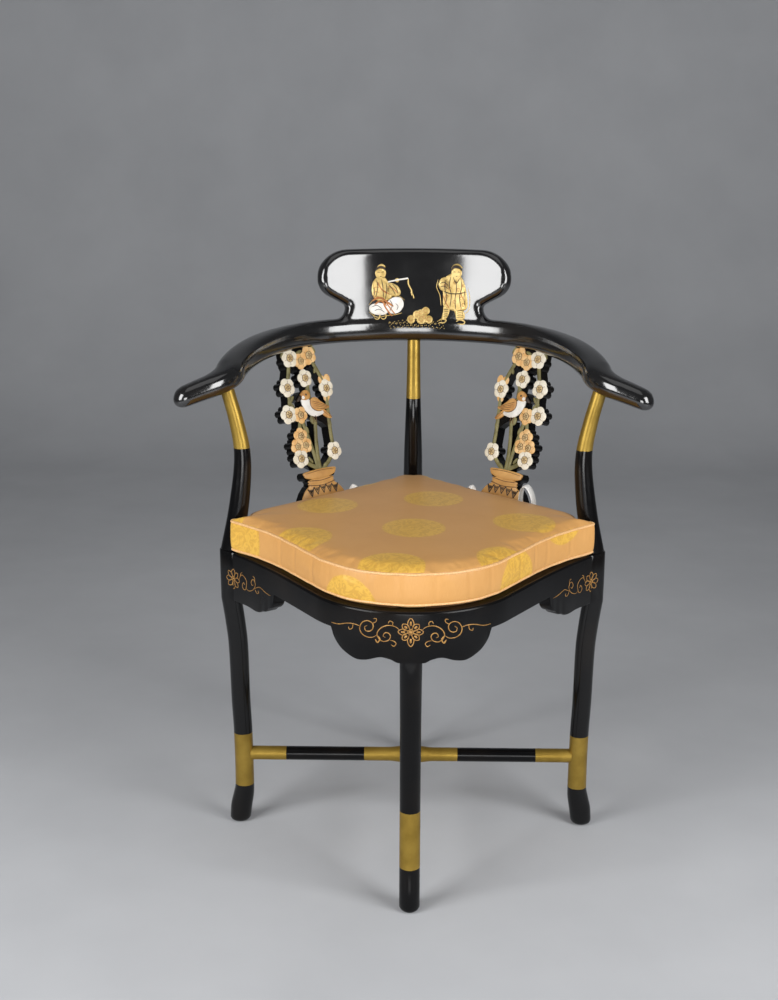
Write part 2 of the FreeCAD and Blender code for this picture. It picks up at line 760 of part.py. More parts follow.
side_bar = stretcher()
depth_bar = turned(side_bar, 90.0)
middle = V(0, 0, stretcher_height)
span = V(stretcher_boss_length, stretcher_boss_length, 0)
upper_half = box(middle - span, middle + span + UP * stretcher_boss_length)
lower_half = box(middle - span - UP * stretcher_boss_length, middle + span)
nodes["side_stretcher"] = largest(side_bar.cut(depth_bar.common(upper_half)))
nodes["depth_stretcher"] = largest(depth_bar.cut(nodes["side_stretcher"]))


# Legs

def post_leg(angle, height, arm_solid, holes):
    """A side or back leg with its knee block, arm post and tenon."""
    leg = lower_leg(knee_section(rail_bottom)).fuse(knee_block(knee_section, rail_bottom, seat_top, 0.0))
    leg = turned(leg.fuse(arm_post(height)), angle)
    leg = largest(leg.cut(arm_solid)).fuse(turned(post_tenon(height), angle))
    return largest(leg.cut(holes))


nodes["right_leg"] = post_leg(0.0, side_height, arm_blank, mortises["right"] + [nodes["side_stretcher"]])
nodes["back_leg"] = post_leg(90.0, bow_back_height, crest_solid, mortises["back"] + [nodes["depth_stretcher"]])
front_leg = turned(lower_leg(front_knee_section(rail_bottom)), -90.0).fuse(front_knee)
nodes["front_leg"] = largest(front_leg.cut(mortises["front"] + [nodes["depth_stretcher"]]))

# Aprons and brackets, cut from a band that follows the rails' outer face
band_bottom = rail_bottom - apron_drop - 20.0
band = slab(seat_outline(0.0), band_bottom, rail_bottom)
band = band.cut(slab(seat_outline(apron_thickness), band_bottom - 1.0, rail_bottom + 1.0))


def apron_profile():
    """The front apron's outline under the right rail, seen from the front."""
    low = rail_bottom - apron_drop
    end = apron_length
    start = front_knee_width / 2

    def at(x, z):
        return V(x, -2 * nose_reach, z)

    edges = [line(at(0, rail_bottom), at(end, rail_bottom))]
    edges += arc(at(end, rail_bottom), at(end - 9, low + 15), at(end - 33, low))
    edges += arc(at(end - 33, low), at(end - 47, low + 1), at(end - 66, low + 7))
    edges += arc(at(end - 66, low + 7), at(end - 80, low + 5), at(start, low + 1))
    edges += [line(at(start, low + 1), at(0, low + 1)), line(at(0, low + 1), at(0, rail_bottom))]
    return prism(edges, V(0, 2 * nose_reach, 0))


def bracket_profile(start, along):
    """A bracket's outline in the upright plane along its rail, from the knee block's middle."""
    low = rail_bottom - bracket_drop
    end = bracket_length
    across = UP.cross(along)

    def at(run, z):
        return start + along * run + UP * z - across * 60.0

    edges = [line(at(0, rail_bottom), at(end, rail_bottom))]
    edges += arc(at(end, rail_bottom), at(end - 3, low + 22), at(end - 16, low + 8))
    edges += arc(at(end - 16, low + 8), at(end - 30, low), at(end - 52, low))
    edges += [line(at(end - 52, low), at(0, low - 1)), line(at(0, low - 1), at(0, rail_bottom))]
    return prism(edges, across * 120.0)


nodes["front_right_apron"] = largest(band.common(apron_profile()).cut(nodes["front_leg"]))
brackets = {
    "front_right_bracket": (side, heading(173.0 + nose_turn), "right_leg"),
    "rear_right_bracket": (side, outward_front * -1, "right_leg"),
    "back_right_bracket": (back, outward_front, "back_leg"),
}
for name, (start, along, leg) in brackets.items():
    nodes[name] = largest(band.common(bracket_profile(start, along)).cut(nodes[leg]))

# Seat panel, dropped into the rails' rebate and cut round the knee blocks
panel = slab(seat_outline(rail_thickness - panel_rebate + panel_gap), pocket_bottom,
             pocket_bottom + panel_thickness)
panel_bottom, panel_top = pocket_bottom - 1.0, seat_top + 1.0
panel_cuts = [knee_block(knee_section, panel_bottom, panel_top, angle, 2 * panel_gap)
              for angle in (0.0, 90.0, 180.0)]
panel_cuts.append(knee_block(front_knee_section, panel_bottom, panel_top, -90.0, 2 * panel_gap))
nodes["seat_panel"] = largest(panel.cut(panel_cuts))

# Corner blocks behind the legs, each with two screws into the rails
inner_prism = slab(seat_outline(rail_thickness), pocket_bottom - block_height, pocket_bottom)
far = 2 * nose_reach
reach_in = knee_reach - block_depth
front_in = knee_reach - front_block_depth
screw_height = UP * (pocket_bottom - block_height / 2)
nose_centre = V(0, nose_radius - nose_reach, 0)
front_screw_foot = V(50.0, -front_in, 0)
corners = {
    "right": (box(V(reach_in, -far, 0), V(far, far, seat_top)),
              [(V(reach_in, -20.0, 0), outward_front), (V(reach_in, 20.0, 0), outward_back)]),
    "back": (box(V(-far, reach_in, 0), V(far, far, seat_top)),
             [(V(20.0, reach_in, 0), outward_back), (V(-20.0, reach_in, 0), outward_front * -1)]),
    "front": (box(V(-far, -far, 0), V(far, -front_in, seat_top)),
              [(V(sign * front_screw_foot.x, front_screw_foot.y, 0),
                (V(sign * front_screw_foot.x, front_screw_foot.y, 0) - nose_centre).normalize())
               for sign in (1, -1)]),
}


def screw(point, into):
    """A flat-headed wood screw with its head just inside the corner block's face."""
    head = peg(screw_head_width / 2, screw_width / 2, point, into)
    return head.fuse(peg(screw_width / 2, screw_length, point, into))


screws = []
for name, (corner, seats) in corners.items():
    pair = [screw(point + into * screw_head_width / 2 + screw_height, into) for point, into in seats]
    holes = [peg(screw_head_width / 2 + fit_gap, screw_head_width + screw_width / 2,
                 point - into * screw_head_width / 2 + screw_height, into) for point, into in seats]
    nodes[name + "_corner_block"] = largest(
        inner_prism.common(corner).cut(nodes[name + "_leg"]).cut(pair + holes))
    screws += pair
    if name == "right":
        screws += [mirrored(one) for one in pair]
nodes["corner_block_screws"] = Part.makeCompound(screws)
nodes["front_right_rail"] = largest(rails["front"].cut(screws))
nodes["back_right_rail"] = largest(rails["back"].cut(screws))


# Cushion: serpentine front, notched round the posts, with a domed top

def cushion():
    low = seat_top + cushion_gap
    clear = post_foot_width / 2 + cushion_post_gap
    back_line = (splat_front - cushion_back_gap) / sin45
    tip = V(knee_reach + 9.0, -clear, 0)
    foot = V(cushion_half_width + cushion_notch_round, -clear, 0)
    inner = V(cushion_half_width, cushion_notch_round - clear, 0)
    corner_middle = V(foot.x, inner.y, 0) + polar(cushion_notch_round, 225.0)
    back_corner = V(cushion_half_width, back_line - cushion_half_width, 0)
    ear = V(clear * sin45, back_line - clear * sin45, 0)
    right = front_curve(nose_reach - cushion_nose_inset, cushion_nose_radius, tip) + [line(tip, foot)]
    right += arc(foot, corner_middle, inner) + [line(inner, back_corner), line(back_corner, ear)]
    notch = arc(ear, V(0, back_line - 1.25 * clear, 0), V(-ear.x, ear.y, 0))
    edges = right + notch + [mirrored(edge) for edge in reversed(right)]
    outline = Part.Wire(Part.__sortEdges__(edges))
    top = cushion_thickness
    levels = [(0.0, 0.985), (0.1, 1.0), (0.5, 1.0 - cushion_draw), (0.9, 1.0), (1.0, 0.985)]
    sections = [(low + top * share, scale) for share, scale in levels]
    sections += [(low + top + cushion_crown * (1 - scale ** 2), scale) for scale in (0.92, 0.75, 0.5, 0.2)]
    wires = []
    for height, scale in sections:
        matrix = FreeCAD.Matrix()
        matrix.scale(scale, scale, scale)
        wire = outline.copy().transformShape(matrix, True)
        wire.translate(V(0, 0, height))
        wires.append(wire)
    return loft(wires)


def ribbon_loop(rest):
    """A ribbon's loop beside the right vase, standing on the cushion's back edge."""
    foot = outward_back * (splat_front - 5.0) - plane.u_axis * 60.0 + UP * (seat_top + cushion_thickness - 5.0)
    outer = ribbon_loop_width / 2
    inner = outer - ribbon_thickness
    shoulder = ribbon_shoulder

    def at(u, z):
        return foot + plane.u_axis * u + UP * z

    edges = [line(at(-outer, 0), at(-outer, shoulder))]
    edges += arc(at(-outer, shoulder), at(0, shoulder + outer), at(outer, shoulder))
    edges += [line(at(outer, shoulder), at(outer, 0)), line(at(outer, 0), at(inner, 0)),
              line(at(inner, 0), at(inner, shoulder))]
    edges += arc(at(inner, shoulder), at(0, shoulder + inner), at(-inner, shoulder))
    edges += [line(at(-inner, shoulder), at(-inner, 0)), line(at(-inner, 0), at(-outer, 0))]
    return largest(prism(edges, outward_back * -ribbon_width).cut(rest))


nodes["cushion"] = cushion()
nodes["right_tie"] = ribbon_loop(nodes["cushion"])

# Mirror the right-hand pieces, and move the origin to the floor under the middle of the chair's box
for name in [name for name in nodes if "right" in name]:
    nodes[name.replace("right", "left")] = mirrored(nodes[name])
whole = Part.makeCompound(list(nodes.values())).optimalBoundingBox()
shift = V(-whole.Center.x, -whole.Center.y, -whole.ZMin)
print("shift", shift, "size", whole.XLength, whole.YLength, whole.ZLength)

os.makedirs("parts", exist_ok=True)
for name, shape in nodes.items():
    shape.translate(shift)
    shape.exportStep("parts/" + name + ".step")
    print(name, len(shape.Solids), round(shape.Volume), shape.isValid())
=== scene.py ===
"""Visual model of a black lacquer corner chair with gold painting, openwork splats and a brocade cushion."""

import math
from contextlib import contextmanager

import bmesh
import bpy
from mathutils import Matrix, Vector, noise
from mathutils.bvhtree import BVHTree


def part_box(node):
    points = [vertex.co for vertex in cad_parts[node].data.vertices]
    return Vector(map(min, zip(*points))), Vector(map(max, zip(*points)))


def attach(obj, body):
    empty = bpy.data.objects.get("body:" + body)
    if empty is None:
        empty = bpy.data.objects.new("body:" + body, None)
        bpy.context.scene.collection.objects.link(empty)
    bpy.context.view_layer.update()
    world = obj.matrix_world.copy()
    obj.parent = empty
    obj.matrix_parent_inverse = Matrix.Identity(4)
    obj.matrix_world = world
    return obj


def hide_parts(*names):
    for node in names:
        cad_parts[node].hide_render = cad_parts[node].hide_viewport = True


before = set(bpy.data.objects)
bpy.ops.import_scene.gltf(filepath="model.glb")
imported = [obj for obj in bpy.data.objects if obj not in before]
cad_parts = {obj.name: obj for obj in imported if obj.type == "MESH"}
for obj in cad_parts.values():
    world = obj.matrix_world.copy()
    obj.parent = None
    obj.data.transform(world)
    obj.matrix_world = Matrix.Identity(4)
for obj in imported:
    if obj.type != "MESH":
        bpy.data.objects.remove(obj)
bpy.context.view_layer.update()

# Frame: sizes are millimetres from the middle of the four legs, unless a heading says metres
MM = 0.001
bar_low, bar_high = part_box("side_stretcher")
CENTRE_Y = (bar_low[1] + bar_high[1]) / 2
SIN45 = math.sqrt(0.5)

# Seat frame
SEAT_TOP = 440.0
RAIL_BOTTOM = 405.0
RAIL_THICKNESS = 26.0
RAIL_ROUND = 4.0
PANEL_REBATE = 9.0
POCKET_BOTTOM = 430.0
NOSE_REACH = 281.0
NOSE_RADIUS = 155.0
NOSE_TURN = 57.0
SIDE_STRAIGHT = 90.0
RAIL_OFFSET = 20.0

# Legs and posts
KNEE_REACH = 258.0
KNEE_HALF = 22.0
KNEE_ROUND = 12.0
FRONT_KNEE = (34.0, 36.0)
ANKLE_REACH = 256.0
ANKLE_WIDTH = 28.6
FOOT_KICK = 7.5
FOOT_HEIGHT = 62.0
FOOT_LENGTH = 33.0
SOLE_ROUND = 6.0
CALF_RISE = 12.7
CALF_WIDTH = 30.0
POST_REACH = (266.0, 247.8, 266.5)
POST_WIDTH = (33.0, 25.0, 20.5)
LEG_RING = 40

# Arm bow and headrest
BOW_RADIUS = 266.0
BOW_BACK = 706.0
BOW_DROP = 31.0
CREST_ANGLE = 31.0
BOW_SIZE = (32.0, 39.0)
ARM_SIZE = (44.0, 36.0)
ARM_END = (36.0, 31.0)
ARM_ROUND = 14.0
FLARE_START = 5.0
FLARE_RADIUS = 55.0
FLARE_TURN = 62.0
GRIP = 34.0
GRIP_ROUND = 16.0
CREST_THICKNESS = 26.0
CREST_LEAN = math.radians(8.0)
CREST_TOP = 851.0
CREST_HALF = 149.8
CREST_NECK = 105.5
CREST_UPPER = 45.0
CREST_LOWER = 32.0
CREST_SLOPE = math.radians(31.0)
CREST_RIM = 9.0

# Stretchers
BAR_HEIGHT = 112.0
BAR_WIDTH = 21.0
BOSS_WIDTH = 25.0
BOSS_LENGTH = 34.0
BAR_TENON = 3.0

# Aprons and brackets
APRON_THICKNESS = 20.0
APRON_HALF = 107.0
BRACKET_LENGTH = 88.0
FRONT_BRACKET = 127.0

# Splats
SPLAT_FRONT = 185.0
SPLAT_LEAN = math.radians(15.4)

# Cushion
CUSHION_LOW = 440.3
CUSHION_TOP = 494.0
CUSHION_CROWN = 5.5
NOSE_INSET = 4.0
SWELL = 1.0
TOP_SEAM = CUSHION_TOP - 3.5
LOW_SEAM = 442.2
PIPING = 1.9
RIBBON_WIDTH = 10.5


def spot(x, y, z):
    """A point in metres in the chair's frame."""
    return Vector((x * MM, y * MM + CENTRE_Y, z * MM))


def smooth(low, high, value):
    """0 below low, 1 above high, with a soft change between them."""
    t = min(1.0, max(0.0, (value - low) / (high - low)))
    return t * t * (3 - 2 * t)


def steps(low, high, count):
    return [low + (high - low) * k / count for k in range(count + 1)]


def turns(count):
    """Angles that divide a full turn."""
    return steps(0.0, 2 * math.pi, count)[:-1]


def polar(radius, degrees):
    return Vector((radius * math.cos(math.radians(degrees)), radius * math.sin(math.radians(degrees))))


def evened(points, passes):
    """A closed run of points, smoothed a number of times."""
    total = len(points)
    for _ in range(passes):
        points = [(points[k - 1] + 2 * points[k] + points[(k + 1) % total]) / 4 for k in range(total)]
    return points


def eased(stations, place):
    """Value at a place on a smooth curve through the stations, each a place and a value."""
    last = len(stations) - 1
    index = max(k for k in range(last) if k == 0 or stations[k][0] <= place)

    def slope(k):
        (place_0, value_0), (place_1, value_1) = stations[max(k - 1, 0)], stations[min(k + 1, last)]
        return (value_1 - value_0) / (place_1 - place_0)

    (start, first), (end, second) = stations[index], stations[index + 1]
    span = end - start
    t = min(1.0, max(0.0, (place - start) / span))
    return (first * (1 + 2 * t) * (1 - t) ** 2 + second * t * t * (3 - 2 * t)
            + span * (slope(index) * t * (1 - t) ** 2 - slope(index + 1) * t * t * (1 - t)))


def curve_points(points, count, closed=False):
    """Points on a smooth curve through the given ones, count for each run."""
    total = len(points)
    runs = total if closed else total - 1
    out = []
    for k in range(runs):
        if closed:
            p = [Vector(points[(k + d) % total]) for d in (-1, 0, 1, 2)]
        else:
            p = [Vector(points[min(total - 1, max(0, k + d))]) for d in (-1, 0, 1, 2)]
        for step in range(count):
            t = step / count
            out.append(0.5 * (2 * p[1] + (p[2] - p[0]) * t + (2 * p[0] - 5 * p[1] + 4 * p[2] - p[3]) * t * t
                              + (3 * p[1] - p[0] - 3 * p[2] + p[3]) * t ** 3))
    if not closed:
        out.append(Vector(points[-1]))
    return out


def stroke(points, width, count, end_share):
    """Points of a smooth curve, each with its sideways direction and half width, thinner at the ends."""
    path = curve_points([(*p, 0) for p in points], count)
    last = len(path) - 1
    for k, p in enumerate(path):
        run = path[min(k + 1, last)] - path[max(k - 1, 0)]
        side = Vector((-run.y, run.x, 0)).normalized()
        yield p, side, width / 2 * min(1.0, end_share + 4 * min(k, last - k) / last)


# Materials

class Shades:
    """The shader nodes of one material, built up from plain operations."""

    def __init__(self, name):
        self.made = bpy.data.materials.new(name)
        self.made.use_nodes = True
        self.tree = self.made.node_tree
        self.place = self.node("TexCoord").outputs["Object"]

    def put(self, values, sockets):
        """Links outputs of nodes to sockets, and sets plain values on them."""
        for key, value in values.items():
            if isinstance(value, bpy.types.NodeSocket):
                self.tree.links.new(value, sockets[key])
            else:
                sockets[key].default_value = value

    def node(self, kind, inputs=None, **settings):
        made = self.tree.nodes.new("ShaderNode" + kind)
        for key, value in settings.items():
            setattr(made, key, value)
        self.put(inputs or {}, made.inputs)
        return made

    def calc(self, operation, first, second=0.0):
        return self.node("Math", {0: first, 1: second}, operation=operation).outputs[0]

    def times(self, first, second):
        return self.calc("MULTIPLY", first, second)

    def plus(self, first, second):
        return self.calc("ADD", first, second)

    def between(self, value, low, high):
        return self.times(self.calc("GREATER_THAN", value, low), self.calc("LESS_THAN", value, high))

    def ramp(self, value, low, high, to_low=0.0, to_high=1.0):
        return self.node("MapRange", {0: value, 1: low, 2: high, 3: to_low, 4: to_high}).outputs[0]

    def mixed(self, share, first, second):
        return self.node("Mix", {0: share, 6: first, 7: second}, data_type="RGBA").outputs[2]

    def noisy(self, scale, detail=4.0, rough=0.55, place=None, bend=0.0):
        where = self.place if place is None else place
        return self.node("TexNoise", {"Vector": where, "Scale": scale, "Detail": detail, "Roughness": rough,
                                      "Distortion": bend}).outputs[0]

    def stretched(self, place, scale):
        return self.node("Mapping", {"Vector": place, "Scale": scale}).outputs[0]

    def bumped(self, height, strength, distance):
        return self.node("Bump", {"Height": height, "Strength": strength, "Distance": distance}).outputs[0]

    def finished(self, looks):
        self.put(looks, self.tree.nodes["Principled BSDF"].inputs)
        return self.made


# Lacquer: its tones, and how far the edges of the gold wander, in metres
BLACK = (0.0026, 0.0025, 0.0028, 1)
WORN = (0.0085, 0.0064, 0.0050, 1)
GOLD_DARK = (0.245, 0.155, 0.025, 1)
GOLD_LIGHT = (0.365, 0.24, 0.046, 1)
BAND_WOBBLE = 0.0016


def lacquer(name, gloss, bands=(), axis=2, centre=0.0, mirror=0.2, coat=0.0):
    """Black lacquer, with gold bands between places along an axis; the gold is worn through in spots."""
    s = Shades(name)
    tone = s.mixed(s.ramp(s.noisy(9.0), 0.52, 0.78), BLACK, WORN)
    shine = s.ramp(s.noisy(26.0, 6.0), 0.3, 0.75, gloss * 0.75, gloss * 1.5)
    metal = 0.0
    if bands:
        along = s.calc("SUBTRACT", s.node("SeparateXYZ", {0: s.place}).outputs[axis], centre)
        if axis < 2:
            along = s.calc("ABSOLUTE", along)
        along = s.plus(along, s.times(s.calc("SUBTRACT", s.noisy(120.0, 2.0), 0.5), BAND_WOBBLE))
        gilt = 0.0
        for low, high in bands:
            gilt = s.calc("MAXIMUM", gilt, s.between(along, low * MM, high * MM))
        gilt = s.times(gilt, s.calc("GREATER_THAN", s.noisy(58.0, 5.0, 0.6), 0.27))
        gold = s.mixed(s.ramp(s.noisy(34.0, 5.0), 0.3, 0.7), GOLD_DARK, GOLD_LIGHT)
        tone = s.mixed(gilt, tone, gold)
        shine = s.plus(shine, s.times(gilt, 0.24))
        metal = s.times(gilt, 0.7)
    return s.finished({"Base Color": tone, "Roughness": shine, "Metallic": metal,
                       "Specular IOR Level": mirror, "Coat Weight": coat, "Coat Roughness": gloss,
                       "Normal": s.bumped(s.noisy(190.0, 2.0), 0.05, 0.0004)})


def paint(name, dark, light, scale=60.0, rough=0.45, metal=0.0, grain=0.15):
    """Brushed-on paint that varies between two tones."""
    s = Shades(name)
    return s.finished({"Base Color": s.mixed(s.ramp(s.noisy(scale), 0.3, 0.7), (*dark, 1), (*light, 1)),
                       "Roughness": s.ramp(s.noisy(3 * scale), 0.3, 0.7, rough * 0.8, rough * 1.2),
                       "Metallic": metal, "Normal": s.bumped(s.noisy(8 * scale, 3.0), grain, 0.0005)})


WOOD_DARK = (0.20, 0.105, 0.045, 1)
WOOD_LIGHT = (0.42, 0.26, 0.13, 1)


def bare_wood(name):
    s = Shades(name)
    lines = s.noisy(2.4, 6.0, 0.65, s.stretched(s.place, (6.0, 60.0, 60.0)))
    return s.finished({"Base Color": s.mixed(s.ramp(lines, 0.3, 0.72), WOOD_DARK, WOOD_LIGHT),
                       "Roughness": s.ramp(lines, 0.3, 0.7, 0.5, 0.75),
                       "Normal": s.bumped(lines, 0.2, 0.0006)})


# Brocade: the woven medallions' radius in metres, and the tones of cloth and thread
MEDAL_RADIUS = 0.0465
CLOTH_DARK = (0.575, 0.288, 0.088, 1)
CLOTH_LIGHT = (0.655, 0.35, 0.117, 1)
THREAD_DARK = (0.60, 0.335, 0.05, 1)
THREAD_LIGHT = (0.74, 0.445, 0.076, 1)


def brocade(name):
    """Peach satin with round gold medallions, each laid out from its own middle."""
    s = Shades(name)
    cloth, medal = (s.node("UVMap", uv_map=layer).outputs[0] for layer in ("cloth", "medal"))
    u, v = s.node("SeparateXYZ", {0: medal}).outputs[:2]
    reach = s.calc("DIVIDE", s.calc("SQRT", s.plus(s.times(u, u), s.times(v, v))), MEDAL_RADIUS)
    curls = s.noisy(70.0, 1.5, 0.5, medal, 3.0)
    disc = s.ramp(s.plus(reach, s.times(curls, 0.07)), 1.02, 0.97)
    figure = s.ramp(curls, 0.44, 0.54)
    for inner, outer in ((0.36, 0.40), (0.83, 0.88)):
        figure = s.calc("MAXIMUM", figure, s.times(s.between(reach, inner, outer), 0.7))
    threads = s.noisy(1.0, 2.0, place=s.stretched(cloth, (300.0, 1500.0, 1.0)))
    cover = s.plus(s.times(figure, 0.1), s.ramp(threads, 0.3, 0.7, 0.80, 0.92))
    gilt = s.times(disc, s.calc("MINIMUM", cover, 1.0))
    slub = s.noisy(1.0, 2.0, place=s.stretched(cloth, (90.0, 1900.0, 1.0)))
    tone = s.plus(s.times(slub, 0.5), s.times(s.noisy(14.0), 0.5))
    satin = s.mixed(s.ramp(tone, 0.3, 0.7), CLOTH_DARK, CLOTH_LIGHT)
    gold = s.mixed(s.ramp(figure, 0.0, 1.0, 0.15, 0.9), THREAD_DARK, THREAD_LIGHT)
    weave = s.node("TexWave", {"Vector": cloth, "Scale": 420.0, "Distortion": 0.6, "Detail": 1.0}).outputs[1]
    relief = s.plus(s.times(weave, 0.25), s.times(gilt, 0.8))
    return s.finished({"Base Color": s.mixed(gilt, satin, gold), "Specular IOR Level": 0.28,
                       "Roughness": s.ramp(gilt, 0.0, 1.0, 0.40, 0.33), "Sheen Weight": 0.06,
                       "Sheen Roughness": 0.35, "Normal": s.bumped(relief, 0.12, 0.0006)})


GLOSS = lacquer("gloss_lacquer", 0.13, mirror=1.0, coat=0.65)
SATIN = lacquer("satin_lacquer", 0.2)
SIDE_LEG = lacquer("side_leg_lacquer", 0.13, [(62, 147), (592, 760)], mirror=0.34)
BACK_LEG = lacquer("back_leg_lacquer", 0.13, [(62, 147), (617, 760)], mirror=0.34)
FRONT_LEG = lacquer("front_leg_lacquer", 0.2, [(62, 147)])
SIDE_BAR = lacquer("side_bar_lacquer", 0.18, [(0, 71), (190, 260)], 0)
DEPTH_BAR = lacquer("depth_bar_lacquer", 0.18, [(0, 71), (190, 260)], 1, CENTRE_Y)
GILT = paint("gilt_line", (0.46, 0.31, 0.085), (0.76, 0.56, 0.22), 90.0, 0.36, 0.35)
RUST = paint("rust_line", (0.30, 0.10, 0.022), (0.54, 0.21, 0.055), 90.0, 0.45)
COPPER = paint("copper_line", (0.27, 0.125, 0.028), (0.50, 0.27, 0.07), 160.0, 0.38, 0.25)
INK = paint("ink_line", (0.014, 0.009, 0.006), (0.04, 0.022, 0.012), 90.0, 0.5)
CREAM = paint("cream_paint", (0.68, 0.60, 0.45), (0.86, 0.81, 0.69), 70.0, 0.5)
PEACH = paint("peach_paint", (0.66, 0.34, 0.10), (0.85, 0.60, 0.30), 80.0, 0.5)
HONEY = paint("honey_paint", (0.46, 0.31, 0.12), (0.68, 0.52, 0.27), 120.0, 0.5)
OLIVE = paint("olive_paint", (0.10, 0.085, 0.025), (0.26, 0.23, 0.09), 55.0, 0.55)
CLAY = paint("clay_paint", (0.44, 0.215, 0.055), (0.66, 0.37, 0.12), 34.0, 0.45)
BROWN = paint("brown_paint", (0.075, 0.03, 0.009), (0.17, 0.08, 0.025), 90.0, 0.5)
TAWNY = paint("tawny_paint", (0.42, 0.19, 0.045), (0.63, 0.35, 0.11), 80.0, 0.5)
WHITE = paint("white_paint", (0.62, 0.59, 0.53), (0.86, 0.84, 0.79), 60.0, 0.5)
WOOD = bare_wood("seat_wood")
STEEL = paint("screw_steel", (0.35, 0.35, 0.36), (0.6, 0.6, 0.61), 300.0, 0.35, 1.0)
BROCADE = brocade("cushion_brocade")
EDGING = paint("edging_satin", (0.68, 0.36, 0.14), (0.86, 0.55, 0.26), 500.0, 0.42)
RIBBON = paint("ribbon_satin", (0.74, 0.73, 0.70), (0.88, 0.87, 0.84), 700.0, 0.35)


# Mesh building

class Heap:
    """Vertices and faces of one piece, gathered shape by shape."""

    def __init__(self):
        self.verts = []
        self.faces = []

    def rings(self, rings, loop=False):
        """A skin through closed rings of equally many points."""
        start = len(self.verts)
        count = len(rings[0])
        for ring in rings:
            self.verts.extend(ring)
        for r in range(len(rings) if loop else len(rings) - 1):
            first = start + r * count
            second = start + ((r + 1) % len(rings)) * count
            for k in range(count):
                n = (k + 1) % count
                self.faces.append((first + k, first + n, second + n, second + k))
        if not loop:
            self.faces.append(tuple(range(start + count - 1, start - 1, -1)))
            self.faces.append(tuple(range(start + (len(rings) - 1) * count, start + len(rings) * count)))

    def piece(self, name, finish, slot="lacquer", body="chair", replaces=(), sharp=40.0):
        mesh = bpy.data.meshes.new(name)
        mesh.from_pydata([tuple(v) for v in self.verts], [], self.faces)
        with reshaped(mesh) as work:
            bmesh.ops.recalc_face_normals(work, faces=work.faces)
        return add_piece(name, mesh, finish, body, replaces, sharp)


@contextmanager
def reshaped(mesh):
    """A working copy of a mesh, written back when the work on it is done."""
    work = bmesh.new()
    work.from_mesh(mesh)
    yield work
    work.to_mesh(mesh)
    work.free()


def softened(mesh, times):
    with reshaped(mesh) as work:
        for _ in range(times):
            bmesh.ops.smooth_vert(work, verts=work.verts, factor=0.5, use_axis_x=True, use_axis_y=True,
                                  use_axis_z=True)


def fused(piece, voxel, times):
    """Joins a piece's parts into one closed skin, and smooths it."""
    change = piece.modifiers.new("remesh", "REMESH")
    change.mode = "VOXEL"
    change.voxel_size = voxel
    graph = bpy.context.evaluated_depsgraph_get()
    mesh = bpy.data.meshes.new_from_object(piece.evaluated_get(graph))
    piece.modifiers.remove(change)
    softened(mesh, times)
    coated(mesh, piece.data.materials[0])
    piece.data = mesh


def surface_of(*names):
    """The faces of named pieces, to lay things on."""
    work = bmesh.new()
    for name in names:
        work.from_mesh(bpy.data.objects[name].data)
    tree = BVHTree.FromBMesh(work)
    work.free()
    return tree


def placed(name, data):
    """A new object in the scene."""
    made = bpy.data.objects.new(name, data)
    bpy.context.scene.collection.objects.link(made)
    return made


def coated(mesh, finish):
    mesh.materials.clear()
    mesh.materials.append(finish)
    mesh.shade_smooth()


def add_piece(name, mesh, finish, body="chair", replaces=(), sharp=40.0):
    """A piece of one finish that rides a body, drawn in place of the nodes it replaces."""
    coated(mesh, finish)
    mesh.set_sharp_from_angle(angle=math.radians(sharp))
    piece = placed(name, mesh)
    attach(piece, body)
    if replaces:
        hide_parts(*replaces)
    return piece


def skin(name, rings, finish, replaces, sharp=40.0):
    """A lacquered piece with one skin through rings, drawn in place of nodes of the frame."""
    heap = Heap()
    heap.rings(rings)
    return heap.piece(name + "_skin", finish, replaces=replaces, sharp=sharp)


def thickened(piece, thickness, offset):
    plate = piece.modifiers.new("thickness", "SOLIDIFY")
    plate.thickness = thickness * MM
    plate.offset = offset


def turned_spot(x, y, z, angle):
    c, s = math.cos(angle), math.sin(angle)
    return spot(c * x - s * y, s * x + c * y, z)


def rounded_radius(turn, half_x, half_y, radius):
    """Distance from the middle of a rounded rectangle to its edge, in a direction."""
    c, s = abs(math.cos(turn)), abs(math.sin(turn))
    if c > 1e-9 and half_x / c * s <= half_y - radius:
        return half_x / c
    if s > 1e-9 and half_y / s * c <= half_x - radius:
        return half_y / s
    centre_x, centre_y = half_x - radius, half_y - radius
    middle = centre_x * c + centre_y * s
    return middle + math.sqrt(max(0.0, middle ** 2 - centre_x ** 2 - centre_y ** 2 + radius ** 2))


# Legs, each one skin from the sole through the knee block to the arm
CALF_SHARE = 0.88
POST_TENON = (2.0, 10.0)

# The front leg's face stays behind the faces of the apron and the rail
SHIN_FACE = 284.5
APRON_FACE = 281.0
APRON_TUCK = (330.0, 364.0)
KNEE_FACE = 280.6
TOP_FACE = 279.5
NO_LIMIT = 1000.0


